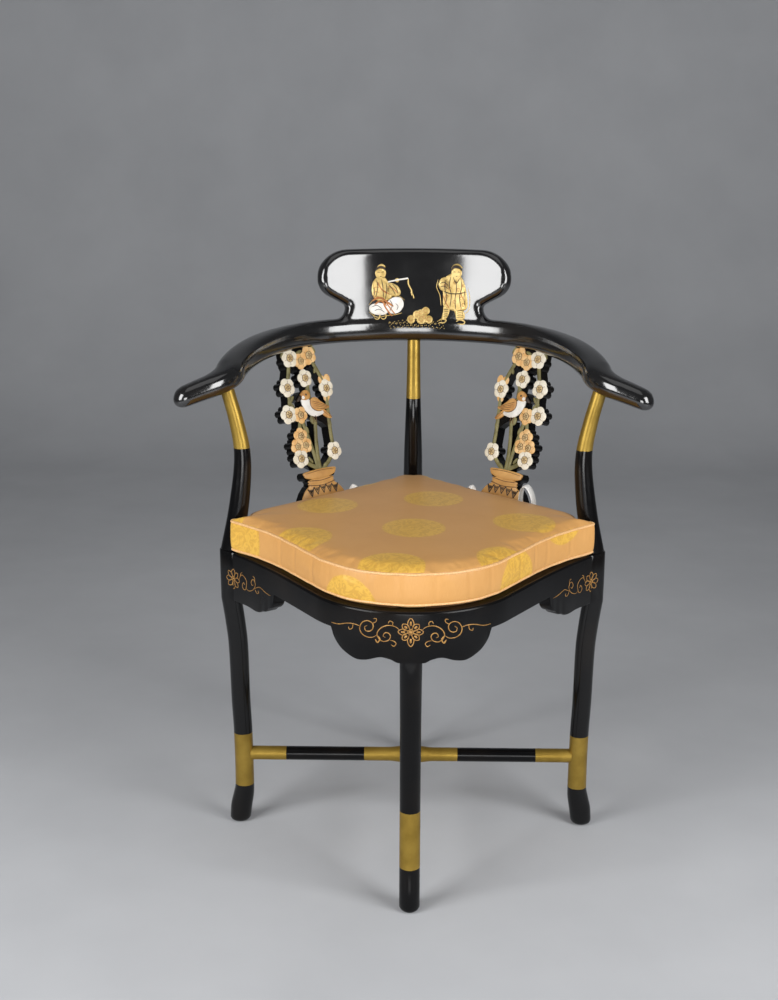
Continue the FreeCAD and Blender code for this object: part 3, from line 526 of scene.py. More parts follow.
def leg_rings(angle, post_height):
    """Rings of a leg along its own outward axis; without a post height it is the front leg."""
    rise = RAIL_BOTTOM - FOOT_HEIGHT
    calf_top = FOOT_HEIGHT + CALF_SHARE * rise
    axis = [(FOOT_HEIGHT * h, ANKLE_REACH + FOOT_KICK * kick)
            for h, kick in ((0.0, 1.0), (0.24, 0.8), (0.45, 0.6), (0.74, 0.13), (1.0, -0.09))]
    axis += [(FOOT_HEIGHT + rise * h, ANKLE_REACH + CALF_RISE * bend)
             for h, bend in ((0.25, 0.0), (0.40, 0.16), (0.66, 0.32), (0.77, 0.60), (CALF_SHARE, 1.0))]
    length = [(0.0, 0.94 * FOOT_LENGTH), (0.45 * FOOT_HEIGHT, FOOT_LENGTH),
              (0.74 * FOOT_HEIGHT, 0.95 * FOOT_LENGTH), (FOOT_HEIGHT, ANKLE_WIDTH), (0.6 * rise, ANKLE_WIDTH),
              (calf_top, CALF_WIDTH)]
    width = [(0.0, ANKLE_WIDTH), (0.7 * rise, ANKLE_WIDTH), (calf_top, CALF_WIDTH)]
    front = post_height is None
    knee_middle = NOSE_REACH - FRONT_KNEE[0] / 2 if front else KNEE_REACH

    def knee(turn):
        if front:
            return rounded_radius(turn, FRONT_KNEE[0] / 2, FRONT_KNEE[1] / 2, RAIL_ROUND)
        return rounded_radius(turn - math.pi / 4, KNEE_HALF, KNEE_HALF, KNEE_ROUND)

    def ring(z, middle, long, wide, square=0.0, shrink=0.0, limit=NO_LIMIT):
        out = []
        for turn in turns(LEG_RING):
            radius = knee(turn) - shrink if square else 0.0
            x = ((1 - square) * long / 2 + square * radius) * math.cos(turn)
            y = ((1 - square) * wide / 2 + square * radius) * math.sin(turn)
            out.append(turned_spot(min(limit, middle + x), y, z, angle))
        return out

    rings = []
    for z in [0.0, 0.5, 1.5, 3.0] + steps(SOLE_ROUND, calf_top, 60):
        inset = 2 * SOLE_ROUND * (1 - min(1.0, z / SOLE_ROUND)) ** 2
        limit = SHIN_FACE + (APRON_FACE - SHIN_FACE) * smooth(*APRON_TUCK, z) if front else NO_LIMIT
        rings.append(ring(z, eased(axis, z), eased(length, z) - inset, eased(width, z) - inset, limit=limit))
    for share in steps(0.0, 1.0, 10)[1:]:
        square = smooth(0.0, 1.0, share)
        middle = eased(axis, calf_top) * (1 - square) + knee_middle * square
        rings.append(ring(calf_top + (RAIL_BOTTOM - calf_top) * share, middle, CALF_WIDTH, CALF_WIDTH,
                          max(square, 0.001), limit=KNEE_FACE if front else NO_LIMIT))
    if front:
        rings.append(ring(SEAT_TOP - 5.0, knee_middle, 0, 0, 1.0, limit=TOP_FACE))
        return rings
    for below, shrink in ((2.5, 0.0), (0.8, 0.7), (0.0, 2.4)):
        rings.append(ring(SEAT_TOP - below, knee_middle, 0, 0, 1.0, shrink))
    foot, waist, head = POST_REACH
    post_rise = post_height - SEAT_TOP
    reach = [(0.0, foot), (0.19, 0.53 * foot + 0.47 * waist), (0.31, 0.28 * foot + 0.72 * waist),
             (0.51, waist), (0.65, 0.98 * waist + 0.02 * head), (0.83, 0.56 * waist + 0.44 * head),
             (1.0, head)]
    thick = [(0.0, POST_WIDTH[0]), (0.19, 0.92 * POST_WIDTH[0]), (0.31, 0.89 * POST_WIDTH[0]),
             (0.51, 1.04 * POST_WIDTH[1]), (0.65, 0.94 * POST_WIDTH[1]), (0.83, 1.05 * POST_WIDTH[2]),
             (1.0, POST_WIDTH[2])]
    for share in steps(0.0, 1.0, 44):
        wide = eased(thick, share)
        rings.append(ring(SEAT_TOP + post_rise * share, eased(reach, share), wide, wide))
    rings.append(ring(post_height + POST_TENON[1], head + POST_TENON[0], POST_WIDTH[2], POST_WIDTH[2]))
    return rings


SIDE_HEIGHT = BOW_BACK - BOW_DROP
legs = [("front_leg", -90.0, None, FRONT_LEG), ("right_leg", 0.0, SIDE_HEIGHT, SIDE_LEG),
        ("back_leg", 90.0, BOW_BACK, BACK_LEG), ("left_leg", 180.0, SIDE_HEIGHT, SIDE_LEG)]
for name, angle, height, finish in legs:
    skin(name, leg_rings(math.radians(angle), height), finish, [name])


# Stretchers: round bars that swell at the crossing

def bar_rings(angle):
    half = ANKLE_REACH - ANKLE_WIDTH / 2 + BAR_TENON
    rings = []
    for run in steps(-half, half, 120):
        swell = 1 - smooth(BOSS_LENGTH * 0.35, BOSS_LENGTH, abs(run))
        radius = (BAR_WIDTH + (BOSS_WIDTH - BAR_WIDTH) * swell) / 2
        rings.append([turned_spot(run, radius * math.cos(t), BAR_HEIGHT + radius * math.sin(t), angle)
                      for t in turns(32)])
    return rings


for name, angle, finish in (("side_stretcher", 0.0, SIDE_BAR), ("depth_stretcher", math.pi / 2, DEPTH_BAR)):
    skin(name, bar_rings(angle), finish, [name])


# Front rails, aprons and brackets along the seat's outer edge

def facing(heading):
    """Outward direction of an edge that runs in a heading."""
    return Vector((math.sin(heading), -math.cos(heading)))


def front_edge(reach, radius, end, gap):
    """Points and outward directions of the right front edge, from the middle of the nose to its end."""
    turn = math.radians(NOSE_TURN)
    out = []

    def add(x, y, heading):
        out.append((Vector((x, y)), facing(heading)))

    for a in steps(0.0, turn, max(2, round(radius * turn / gap))):
        add(radius * math.sin(a), radius - reach - radius * math.cos(a), a)
    along = Vector((math.cos(turn), math.sin(turn)))
    start = out[-1][0]
    for run in steps(0.0, SIDE_STRAIGHT, round(SIDE_STRAIGHT / gap))[1:]:
        add(*(start + along * run), turn)
    hollow = start + along * SIDE_STRAIGHT
    chord = Vector(end) - hollow
    bend = turn - math.atan2(chord.y, chord.x)
    bow = chord.length / (2 * math.sin(bend))
    for a in steps(0.0, 2 * bend, max(4, round(chord.length / gap)))[1:]:
        add(*(hollow + facing(turn) * bow - facing(turn - a) * bow), turn - a)
    return out


def both_sides(right):
    left = [(Vector((-p.x, p.y)), Vector((-n.x, n.y))) for p, n in reversed(right[1:])]
    return left + right


rail_end = (KNEE_REACH + SIN45 * RAIL_OFFSET, -SIN45 * RAIL_OFFSET)
right_edge = front_edge(NOSE_REACH, NOSE_RADIUS, rail_end, 4.0)
rail_profile = [(0.0, RAIL_BOTTOM), (0.0, SEAT_TOP - RAIL_ROUND)]
rail_profile += [(RAIL_ROUND * (1 - math.cos(a)), SEAT_TOP - RAIL_ROUND * (1 - math.sin(a)))
                 for a in steps(0.0, math.pi / 2, 6)[1:]]
rail_inner = RAIL_THICKNESS - PANEL_REBATE
rail_profile += [(rail_inner, SEAT_TOP), (rail_inner, POCKET_BOTTOM), (RAIL_THICKNESS, POCKET_BOTTOM),
                 (RAIL_THICKNESS, RAIL_BOTTOM)]


def swept(path, profile_at):
    """Rings of an upright profile, given as inset and height, along a path with outward directions."""
    rings = []
    for p, n in path:
        rings.append([spot(p.x - n.x * inset, p.y - n.y * inset, z) for inset, z in profile_at(p)])
    return rings


BOARD_SHARP = 35.0
skin("front_rails", swept(both_sides(right_edge), lambda p: rail_profile), SATIN,
     ["front_left_rail", "front_right_rail"], BOARD_SHARP)


def band_profile(bottom):
    """Section of a shaped board under a rail, with slightly rounded lower edges."""
    low = min(bottom, RAIL_BOTTOM - 2.6)
    deep = APRON_THICKNESS
    front = [(0, RAIL_BOTTOM), (0, low + 2), (0.6, low + 0.6), (2, low)]
    return front + [(deep - inset, z) for inset, z in reversed(front)]


# Lower edges of the boards: distances from the middle of the nose or from the knee, and heights
APRON_EDGE = [(0, 369), (18, 369), (27, 373), (41, 375), (60, 369), (74, 368), (90, 375.5), (98, 383),
              (104, 393), (107, 405)]
BRACKET_EDGE = [(0, 365), (36, 366), (50, 364.5), (58, 366), (63, 370), (69, 371.5), (75, 378), (80, 381),
                (85, 390), (88, 405)]
apron_path = []
for x in steps(-APRON_HALF, APRON_HALF, 140):
    direction = facing(math.asin(x / NOSE_RADIUS))
    apron_path.append((Vector((0, NOSE_RADIUS - NOSE_REACH)) + direction * NOSE_RADIUS, direction))
skin("front_apron", swept(apron_path, lambda p: band_profile(eased(APRON_EDGE, abs(p.x)))), SATIN,
     ["front_left_apron", "front_right_apron"], BOARD_SHARP)

BRACKET_START = 16.0
FRONT_HEADING = 173.0 + NOSE_TURN
fine_edge = front_edge(NOSE_REACH, NOSE_RADIUS, rail_end, 1.5)
front_along = polar(1.0, FRONT_HEADING)
outward_back = Vector((SIN45, SIN45))
outward_front = Vector((SIN45, -SIN45))
side_knee = Vector((KNEE_REACH, 0))
back_knee = Vector((0, KNEE_REACH))


def straight_edge(start, along, outward):
    return [(start + outward * RAIL_OFFSET + along * run, outward)
            for run in steps(BRACKET_START, BRACKET_LENGTH, 60)]


front_bracket_edge = [place for place in fine_edge
                      if BRACKET_START < (place[0] - side_knee).dot(front_along) < FRONT_BRACKET]
bracket_paths = {
    "front_right_bracket": (side_knee, front_along, FRONT_BRACKET / BRACKET_LENGTH, front_bracket_edge),
    "rear_right_bracket": (side_knee, -outward_front, 1.0,
                           straight_edge(side_knee, -outward_front, outward_back)),
    "back_right_bracket": (back_knee, outward_front, 1.0,
                           straight_edge(back_knee, outward_front, outward_back)),
}


def mirrored(points):
    return [[Vector((-p.x, p.y, p.z)) for p in ring] for ring in points]


for name, (start, along, stretch, path) in bracket_paths.items():
    rings = swept(path, lambda p: band_profile(eased(BRACKET_EDGE, (p - start).dot(along) / stretch)))
    other = name.replace("right", "left")
    skin(name, rings, SATIN, [name], BOARD_SHARP)
    skin(other, mirrored(rings), SATIN, [other], BOARD_SHARP)


# Arms and headrest
BOW_RUN = math.radians(90.0 - CREST_ANGLE - FLARE_START) * BOW_RADIUS
FLARE_RUN = math.radians(FLARE_TURN - FLARE_START) * FLARE_RADIUS
SIDE_RUN = math.radians(90.0 - CREST_ANGLE) * BOW_RADIUS
ARM_RUN = BOW_RUN + FLARE_RUN + GRIP


def arm_place(run):
    """Point and direction of the right arm's middle line, at a distance from the headrest's joint."""
    if run <= BOW_RUN:
        angle = 90.0 - CREST_ANGLE - math.degrees(run / BOW_RADIUS)
        return polar(BOW_RADIUS, angle), polar(1.0, angle - 90.0)
    turn = min(FLARE_TURN, FLARE_START + math.degrees((run - BOW_RUN) / FLARE_RADIUS))
    forward = polar(1.0, turn - 90.0)
    past = max(0.0, run - BOW_RUN - FLARE_RUN)
    flare_centre = polar(BOW_RADIUS + FLARE_RADIUS, FLARE_START)
    return flare_centre + polar(FLARE_RADIUS, 180.0 + turn) + forward * past, forward


def blend(first, second, shares):
    """Two sizes mixed, each number by a share of its own."""
    return [a + (b - a) * share for a, b, share in zip(first, second, shares)]


def arm_size(run):
    if run < BOW_RUN:
        part = run / BOW_RUN
        return blend(BOW_SIZE, ARM_SIZE, (math.sin(math.pi / 2 * min(1.0, 1.6 * part)) ** 2, part))
    part = min(1.0, (run - BOW_RUN) / (ARM_RUN - BOW_RUN))
    return blend(ARM_SIZE, ARM_END, (part, part))


def rounded_ring(width, depth, radius):
    """Points round a rounded rectangle, close together in its corners."""
    points = []
    for quarter in range(4):
        sign_x, sign_y = ((1, 1), (-1, 1), (-1, -1), (1, -1))[quarter]
        for a in steps(90.0 * quarter, 90.0 * quarter + 90.0, 8):
            p = polar(radius, a)
            points.append((sign_x * (width / 2 - radius) + p.x, sign_y * (depth / 2 - radius) + p.y))
    return points


def bow_ring(point, forward, underside, width, depth, scale=1.0):
    across = Vector((-forward.y, forward.x))
    return [spot(point.x + across.x * a, point.y + across.y * a, underside + depth / 2 + b)
            for a, b in rounded_ring(width * scale, depth * scale, ARM_ROUND * scale)]


def arm_ring(run, scale=1.0):
    point, forward = arm_place(run)
    width, depth = arm_size(run)
    underside = BOW_BACK - BOW_DROP * (run / SIDE_RUN) ** 2
    return bow_ring(point, forward, underside, width, depth, scale)


arm_rings = [arm_ring(run) for run in steps(0.0, ARM_RUN, 110)]
arm_rings += [arm_ring(ARM_RUN + GRIP_ROUND * math.sin(a), math.cos(a)) for a in steps(0.0, 1.5, 14)[1:]]


def lobe_top(x):
    past = max(0.0, abs(x) - CREST_HALF + CREST_UPPER)
    return CREST_TOP - CREST_UPPER + math.sqrt(max(0.0, CREST_UPPER ** 2 - past ** 2))


def lobe_bottom(x):
    x = abs(x)
    centre_x, centre_z = CREST_HALF - CREST_LOWER, CREST_TOP - CREST_UPPER
    join_x = centre_x + CREST_LOWER * math.sin(CREST_SLOPE)
    join_z = centre_z - CREST_LOWER * math.cos(CREST_SLOPE)
    if x < join_x:
        return join_z - (join_x - x) * math.tan(CREST_SLOPE)
    return centre_z - math.sqrt(max(0.0, CREST_LOWER ** 2 - (x - centre_x) ** 2))


CREST_FOOT = BOW_BACK + 0.4 * BOW_SIZE[1]
NECK_HOLLOW = 22.0
NECK_SINK = 3.0


def headrest_ring(x, low, high):
    """An upright ring round a slice of the leaning headrest, thinner where its end rounds off."""
    rim = max(0.0, abs(x) - CREST_HALF + CREST_RIM)
    thick = CREST_THICKNESS - 2 * (CREST_RIM - math.sqrt(max(0.0, CREST_RIM ** 2 - rim ** 2)))
    height = (low + high) / 2
    reach = BOW_RADIUS + (height - CREST_FOOT) * math.tan(CREST_LEAN)
    outward = polar(1.0, 90.0 - math.degrees(math.asin(x / reach)))
    tall = (high - low) / math.cos(CREST_LEAN)
    ring = []
    for a, b in rounded_ring(thick, tall, min(CREST_RIM, 0.49 * thick, 0.49 * tall)):
        out = reach + a * math.cos(CREST_LEAN) + b * math.sin(CREST_LEAN)
        z = height - a * math.sin(CREST_LEAN) + b * math.cos(CREST_LEAN)
        ring.append(spot(outward.x * out, outward.y * out, z))
    return ring


def neck_top(x):
    """Height of the hollow that leads from the headrest's neck down to the bow."""
    past = min(NECK_HOLLOW, max(0.0, abs(x) - CREST_NECK))
    rise = NECK_HOLLOW - math.sqrt(NECK_HOLLOW ** 2 - (NECK_HOLLOW - past) ** 2)
    return BOW_BACK + BOW_SIZE[1] - NECK_SINK + rise


def bow_rings(start, end, count):
    """Rings of the bow's middle between two angles, without the last one."""
    return [bow_ring(polar(BOW_RADIUS, a), polar(1.0, a - 90.0), BOW_BACK, *BOW_SIZE)
            for a in steps(start, end, count)[:-1]]


# Arms, bow and headrest are one unbroken skin; its mesh size is in metres
BOW_VOXEL = 0.0021
BOW_SMOOTHING = 26
LOBE_START = CREST_NECK - 12.0
LOBE_REACH = CREST_HALF - 0.25 - LOBE_START
heap = Heap()
heap.rings(list(reversed(mirrored(arm_rings))) + bow_rings(90.0 + CREST_ANGLE, 90.0 - CREST_ANGLE, 60)[1:])
heap.rings(bow_rings(92.0 - CREST_ANGLE, 90.0 - CREST_ANGLE, 4) + arm_rings)
heap.rings([headrest_ring(x, CREST_FOOT, CREST_TOP) for x in steps(-CREST_NECK, CREST_NECK, 60)])
for sign in (-1, 1):
    heap.rings([headrest_ring(sign * x, CREST_FOOT, neck_top(x))
                for x in steps(CREST_NECK - 6.0, CREST_NECK + NECK_HOLLOW, 28)])
    lobe = [LOBE_START + LOBE_REACH * math.sin(a) for a in steps(0.0, math.pi / 2, 44)]
    heap.rings([headrest_ring(sign * x, lobe_bottom(x), lobe_top(x)) for x in lobe])
bow = heap.piece("bow_skin", GLOSS, replaces=["left_arm", "right_arm", "crest"])
fused(bow, BOW_VOXEL, BOW_SMOOTHING)


# Painting on curved faces: flat shapes laid on a surface from the front
WIDEST_FACE = 4.0


class Brush:
    """Gathers flat shapes in x and z, lays them on a surface along a direction, and makes one thin piece."""

    def __init__(self, name, surface, finish, lift=0.25, towards=(0, 1), shift=(0.0, 0.0)):
        self.name = name
        self.surface = surface
        self.finish = finish
        self.lift = lift
        self.shift = shift
        self.towards = Vector((*towards, 0)).normalized()
        self.across = Vector((self.towards.y, -self.towards.x, 0))
        self.work = bmesh.new()

    def face(self, outline):
        self.work.faces.new([self.work.verts.new((p[0], p[1], 0)) for p in outline])

    def line(self, points, width, count=8, taper=True):
        """A stroke along a smooth curve, thinner at its ends."""
        rows = [(self.work.verts.new(p + side * half), self.work.verts.new(p - side * half))
                for p, side, half in stroke(points, width, count, 0.35 if taper else 1.0)]
        for (a, b), (c, d) in zip(rows, rows[1:]):
            self.work.faces.new((a, b, d, c))

    def dot(self, x, z, radius_x, radius_z=None, count=14):
        radius_z = radius_z or radius_x
        self.face([(x + radius_x * math.cos(t), z + radius_z * math.sin(t)) for t in turns(count)])

    def blob(self, points, count=5):
        self.face([p[:2] for p in curve_points([(*p, 0) for p in points], count, closed=True)])

    def done(self):
        """Splits wide faces so that they follow the surface, and lays every point on it."""
        work = self.work
        for axis in range(2):
            normal = Vector((1 - axis, axis, 0))
            places = [v.co[axis] for v in work.verts]
            low, high = min(places), max(places)
            for place in steps(low, high, max(1, int((high - low) / WIDEST_FACE)))[1:-1]:
                wide = []
                for f in work.faces:
                    ends = [v.co[axis] for v in f.verts]
                    if max(ends) - min(ends) > WIDEST_FACE:
                        wide.append(f)
                edges = list({e for f in wide for e in f.edges})
                verts = list({v for f in wide for v in f.verts})
                if wide:
                    bmesh.ops.bisect_plane(work, geom=wide + edges + verts, plane_co=normal * place,
                                           plane_no=normal)
        bmesh.ops.triangulate(work, faces=work.faces)
        lost = []
        for v in work.verts:
            sideways = self.across * ((v.co.x + self.shift[0]) * MM)
            start = spot(0, 0, v.co.y + self.shift[1]) + sideways - self.towards
            hit, normal, _, _ = self.surface.ray_cast(start, self.towards)
            if hit is None:
                lost.append(v)
                continue
            if normal.dot(self.towards) > 0:
                normal = -normal
            v.co = hit + normal * (self.lift * MM)
        bmesh.ops.delete(work, geom=lost, context="VERTS")
        for f in work.faces:
            f.normal_update()
            if f.normal.dot(self.towards) > 0:
                f.normal_flip()
        mesh = bpy.data.meshes.new(self.name)
        work.to_mesh(mesh)
        work.free()
        thickened(add_piece(self.name, mesh, self.finish), 2 * self.lift, -1)


def spiral(x, z, radius, start, rounds, hand, shrink=0.25, count=12):
    """Points of a scroll that winds in towards its middle."""
    points = []
    for t in steps(0.0, 1.0, count):
        angle = math.radians(start) + hand * 2 * math.pi * rounds * t
        r = radius * (1 - (1 - shrink) * t)
        points.append((x + r * math.cos(angle), z + r * math.sin(angle)))
    return points


# Headrest painting: two robed figures, a flute, rocks and grass, of a general kind
crest_surface = surface_of("bow_skin")
CREST_SHIFT = (3.5, -8.0)
gilt = Brush("crest_gilt", crest_surface, GILT, shift=CREST_SHIFT)
rust = Brush("crest_rust", crest_surface, RUST, 0.42, shift=CREST_SHIFT)
pale = Brush("crest_white", crest_surface, WHITE, 0.32, shift=CREST_SHIFT)
ink = Brush("crest_ink", crest_surface, INK, 0.6, shift=CREST_SHIFT)


def calm_face(x, z):
    """Two closed eyes and a small mouth, of a general kind."""
    for side in (-3.3, 3.3):
        ink.line([(x + side - 1.7, z), (x + side, z + 0.6), (x + side + 1.7, z)], 0.9)
    ink.line([(x - 1.2, z - 6), (x, z - 6.5), (x + 1.2, z - 6)], 0.8)


# The seated flute player: trailing robe, cloak, head with a topknot, arms raised to the flute
pale.blob([(-73, 772), (-58, 776), (-44, 770), (-47, 759), (-60, 757), (-72, 762)])
pale.blob([(-47, 776), (-36, 784), (-24, 783), (-20, 772), (-27, 761), (-40, 759), (-48, 766)])
gilt.blob([(-66, 812), (-57, 818), (-47, 812), (-42, 800), (-38, 786), (-47, 779), (-60, 779), (-69, 788),
           (-70, 802)])
gilt.blob([(-48, 806), (-38, 806), (-28, 800), (-25, 790), (-32, 785), (-42, 788), (-49, 796)])
gilt.dot(-56.5, 822, 8.6, 9.6, 20)
gilt.blob([(-63, 828), (-60, 834), (-54, 836), (-49, 832), (-52, 829), (-58, 830)])
gilt.dot(-30.5, 810.5, 3.4)
pale.line([(-45, 808), (-30, 811), (-13, 813.5)], 2.4, taper=False)
gilt.line([(-13, 813), (-12.5, 804), (-8, 795), (-7, 786)], 2.2)
gilt.line([(-9, 792), (-5, 787), (-4, 782)], 1.8)
rust.line([(-61, 808), (-55, 797), (-43, 789)], 2.0)
rust.line([(-70, 779), (-58, 784), (-45, 776), (-36, 770)], 3.2)
rust.line([(-66, 773), (-56, 779), (-47, 771)], 2.4)
rust.line([(-52, 774), (-45, 763), (-38, 755)], 2.4)
rust.line([(-48, 776), (-40, 766), (-33, 757)], 1.8)
rust.line([(-44, 801), (-36, 797), (-30, 791)], 1.5)
for z in (784, 791, 798):
    rust.line([(-68, z), (-64, z + 2.5), (-59, z + 1)], 1.0)
ink.blob([(-65, 825), (-62, 831), (-56, 833), (-50.5, 830.5), (-48.5, 825), (-52, 828), (-57, 829),
          (-61, 828)])
for fold in ([(-63, 811), (-61, 800), (-64, 785)], [(-55, 812), (-53, 800), (-52, 783)],
             [(-48, 806), (-47, 796), (-49, 781)], [(-67, 800), (-66, 791), (-68, 786)],
             [(-44, 804), (-38, 797), (-33, 788)], [(-38, 805), (-32, 798), (-29, 790)],
             [(-70, 770), (-62, 772), (-54, 766)], [(-66, 764), (-58, 766), (-50, 761)],
             [(-42, 780), (-38, 772), (-42, 763)]):
    ink.line(fold, 0.9)
gilt.line([(-75, 773), (-66, 781), (-54, 779), (-44, 785), (-30, 787), (-19, 780)], 1.1)
gilt.line([(-74, 762), (-62, 754), (-46, 756), (-34, 757), (-22, 760)], 1.0)
for x in (-62, -52):
    gilt.line(spiral(x, 755, 5.0, 180, 0.95, -1, 0.8), 1.5)
calm_face(-56.5, 823)
ink.line([(-33, 775), (-29, 770), (-31, 764)], 0.8)

# The standing figure: long robe, wide sleeves, head with a cap, parted legs
gilt.blob([(40, 808), (48, 818), (58, 822), (68, 819), (75, 808), (79, 790), (80, 770), (70, 764), (56, 765),
           (43, 771), (42, 790)])
gilt.blob([(36, 810), (44, 816), (52, 812), (52, 800), (44, 794), (36, 799)])
gilt.dot(63, 823, 8.2, 9.4, 20)
gilt.blob([(55, 828), (58, 835), (66, 837), (72, 831), (66, 830)])
gilt.blob([(44, 772), (52, 769), (51, 758), (46, 751), (40, 751), (42, 761)])
gilt.blob([(60, 767), (73, 766), (76, 753), (64, 751), (62, 758)])
gilt.line([(35, 748), (40, 751), (47, 750), (44, 746), (36, 746)], 1.8)
gilt.line([(63, 748), (68, 751), (76, 749), (74, 745), (65, 745)], 1.8)
for x, z in ((48, 786), (60, 778), (71, 784), (53, 798), (66, 797), (74, 774), (46, 803), (61, 808)):
    rust.line(spiral(x, z, 2.4, 0, 0.9, 1, 0.9), 0.8)
ink.blob([(54.5, 826), (57, 833), (63, 835), (69.5, 832), (71.5, 826), (67, 829.5), (59, 829.5)])
for fold in ([(46, 811), (45, 798), (48, 785), (45, 773)], [(54, 817), (52, 803), (55, 788), (53, 769)],
             [(62, 813), (63, 798), (61, 782), (62, 767)], [(70, 814), (71, 800), (68, 785), (71, 768)],
             [(37, 806), (44, 808), (50, 803)], [(38, 801), (44, 802), (50, 798)],
             [(76, 796), (75, 784), (77, 772)]):
    ink.line(fold, 1.0)
ink.line([(58, 816), (62.5, 807), (68, 815)], 1.0)
ink.line([(43, 794), (53, 791), (66, 791), (78, 794)], 1.5)
gilt.line([(81, 800), (84, 784), (82, 766), (74, 760)], 1.0)
gilt.line([(34, 812), (32, 800), (37, 788), (39, 772)], 1.0)
rust.line([(42, 788), (47, 776), (52, 768)], 1.4)
rust.line([(73, 806), (70, 794), (74, 781)], 1.2)
for k in range(4):
    for x, z, half in ((47, 755 + 3.4 * k, 4), (69, 754 + 3.4 * k, 5)):
        ink.line([(x - half, z), (x, z + 1), (x + half, z + 0.5)], 0.8)
calm_face(63, 824)

# Rocks and grass under the figures
for x, z, size in ((-8, 750, 6.5), (1, 757, 6.6), (8, 750, 7.2), (15, 763, 6.4), (20, 750, 6.2),
                   (7, 760, 5.4), (13, 753, 5.2)):
    gilt.dot(x, z, size)
    rust.line(spiral(x, z, 0.62 * size, 40, 0.9, 1, 0.5), 0.7)
for row in range(3):
    for k in range(44):
        x = -44 + 2.05 * k + 0.7 * row
        sway = math.sin(2.3 * k + 1.7 * row)
        z = 738 + 3.9 * row + 2.0 * sway
        if (k + 2 * row) % 3:
            gilt.line([(x, z), (x + 0.5 + 0.6 * sway, z + 1.7)], 0.9, 3)
for brush in (gilt, rust, pale, ink):
    brush.done()


# Painting on the rails: a flower in the middle of the nose and one at each knee, with scrolls beside them

def petal_outline(degrees, inner, outer, half):
    """A pointed petal, as points about a flower's middle."""
    span = outer - inner
    shape = [(inner, 0), (inner + 0.4 * span, half), (inner + 0.78 * span, 0.8 * half), (outer, 0),
             (inner + 0.78 * span, -0.8 * half), (inner + 0.4 * span, -half)]
    return [polar(a, degrees) + polar(b, degrees + 90.0) for a, b in shape]


def flower(brush, at, lengths, inner, half, width, middle):
    """Outlined petals round a dot; at gives a point's place on the surface."""
    for k, long in enumerate(lengths):
        outline = [at(*p) for p in petal_outline(90.0 + 45.0 * k, inner, long, half)]
        brush.line(outline + outline[:2], width, 5, taper=False)
    brush.dot(*at(0, 0), middle)


FLOWER_X, FLOWER_Z = -0.5, 413.0
PETALS = (19.0, 15.0, 16.5, 15.0, 20.0, 15.0, 16.5, 15.0)
SCROLLS = [
    (1.25, [(14, 2), (20, 7.5), (30, 9.5), (39, 6), (44, -1), (42, -8), (36, -12.5), (29, -11), (26.5, -5.5),
            (29.5, -1), (34, -1), (36, -5), (33, -7)]),
    (1.25, [(44, -3), (50, -6.5), (58, -5.5), (65, 0), (67, 8), (63, 15), (56, 16.5), (50, 12.5), (49.5, 6),
            (53.5, 2), (59, 3), (60.5, 8), (57, 10)]),
    (1.1, [(66, 9), (74, 12.5), (84, 14), (96, 13), (106, 15.5)]),
    (1.1, [(27, -11), (22, -12.5), (19, -16), (22, -19.5), (25.5, -17)]),
    (1.0, [(24, 9), (23.5, 13.5), (27.5, 15.5), (29.5, 12)]),
    (1.7, [(44, -4), (40.5, -9), (43.5, -14), (46.5, -9)]),
    (1.0, [(50, 13), (45.5, 15), (45, 19), (49, 19)]),
    (1.0, [(76, 13), (77, 7), (81, 5.5), (82, 9)]),
]
SCROLL_DROP = 0.00157
copper = Brush("apron_scrolls", surface_of("front_rails_skin", "front_apron_skin", "front_leg_skin"), COPPER)


def on_nose(a, b):
    return FLOWER_X + a, FLOWER_Z + b


flower(copper, on_nose, PETALS, 3.0, 4.0, 1.2, 2.4)
for k, long in enumerate(PETALS):
    copper.line([on_nose(*polar(share * long, 90.0 + 45.0 * k)) for share in (0.45, 0.78)], 2.6, 5)
for sign in (-1, 1):
    for width, points in SCROLLS:
        copper.line([on_nose(sign * a, b - SCROLL_DROP * a * a) for a, b in points], width, 6)
copper.done()

KNEE_FLOWER = (16.0, 400.0)
KNEE_PETALS = [15.0] * 8
KNEE_SCROLLS = [
    (1.0, [(14, 2), (18, 9), (23, 11.7), (30, 9), (34, 2.9), (31, -8), (25, -9), (22.5, -4), (26, 1),
           (29, -2)]),
    (1.0, [(32, -6), (40, -8), (51, -3.3), (57, 5), (55, 11), (50, 12), (46, 6.5), (49, 2.5), (52, 5)]),
    (0.9, [(54, -1), (62, 3), (70, 5.3), (84, 2), (98, 0.6)]),
    (0.9, [(18, 8), (19, 13), (23, 15.6)]),
    (0.9, [(56, 11), (55, 16), (51, 17)]),
    (0.9, [(56, -1.5), (61, -6), (66, -4), (64, -1)]),
]
for side, sign in (("left", -1), ("right", 1)):
    surface = surface_of("front_rails_skin", "front_%s_bracket_skin" % side, "%s_leg_skin" % side)
    knee = Brush(side + "_knee_scrolls", surface, COPPER, towards=(-sign, 1))
    base = knee.across.x * sign * KNEE_REACH

    def on_knee(a, b):
        return base - sign * (KNEE_FLOWER[0] + a), KNEE_FLOWER[1] + b

    flower(knee, on_knee, KNEE_PETALS, 2.8, 3.7, 1.05, 2.0)
    for width, points in KNEE_SCROLLS:
        knee.line([on_knee(*p) for p in points], width, 6)
    knee.done()


# Splats: relief painted on the front of the openwork boards

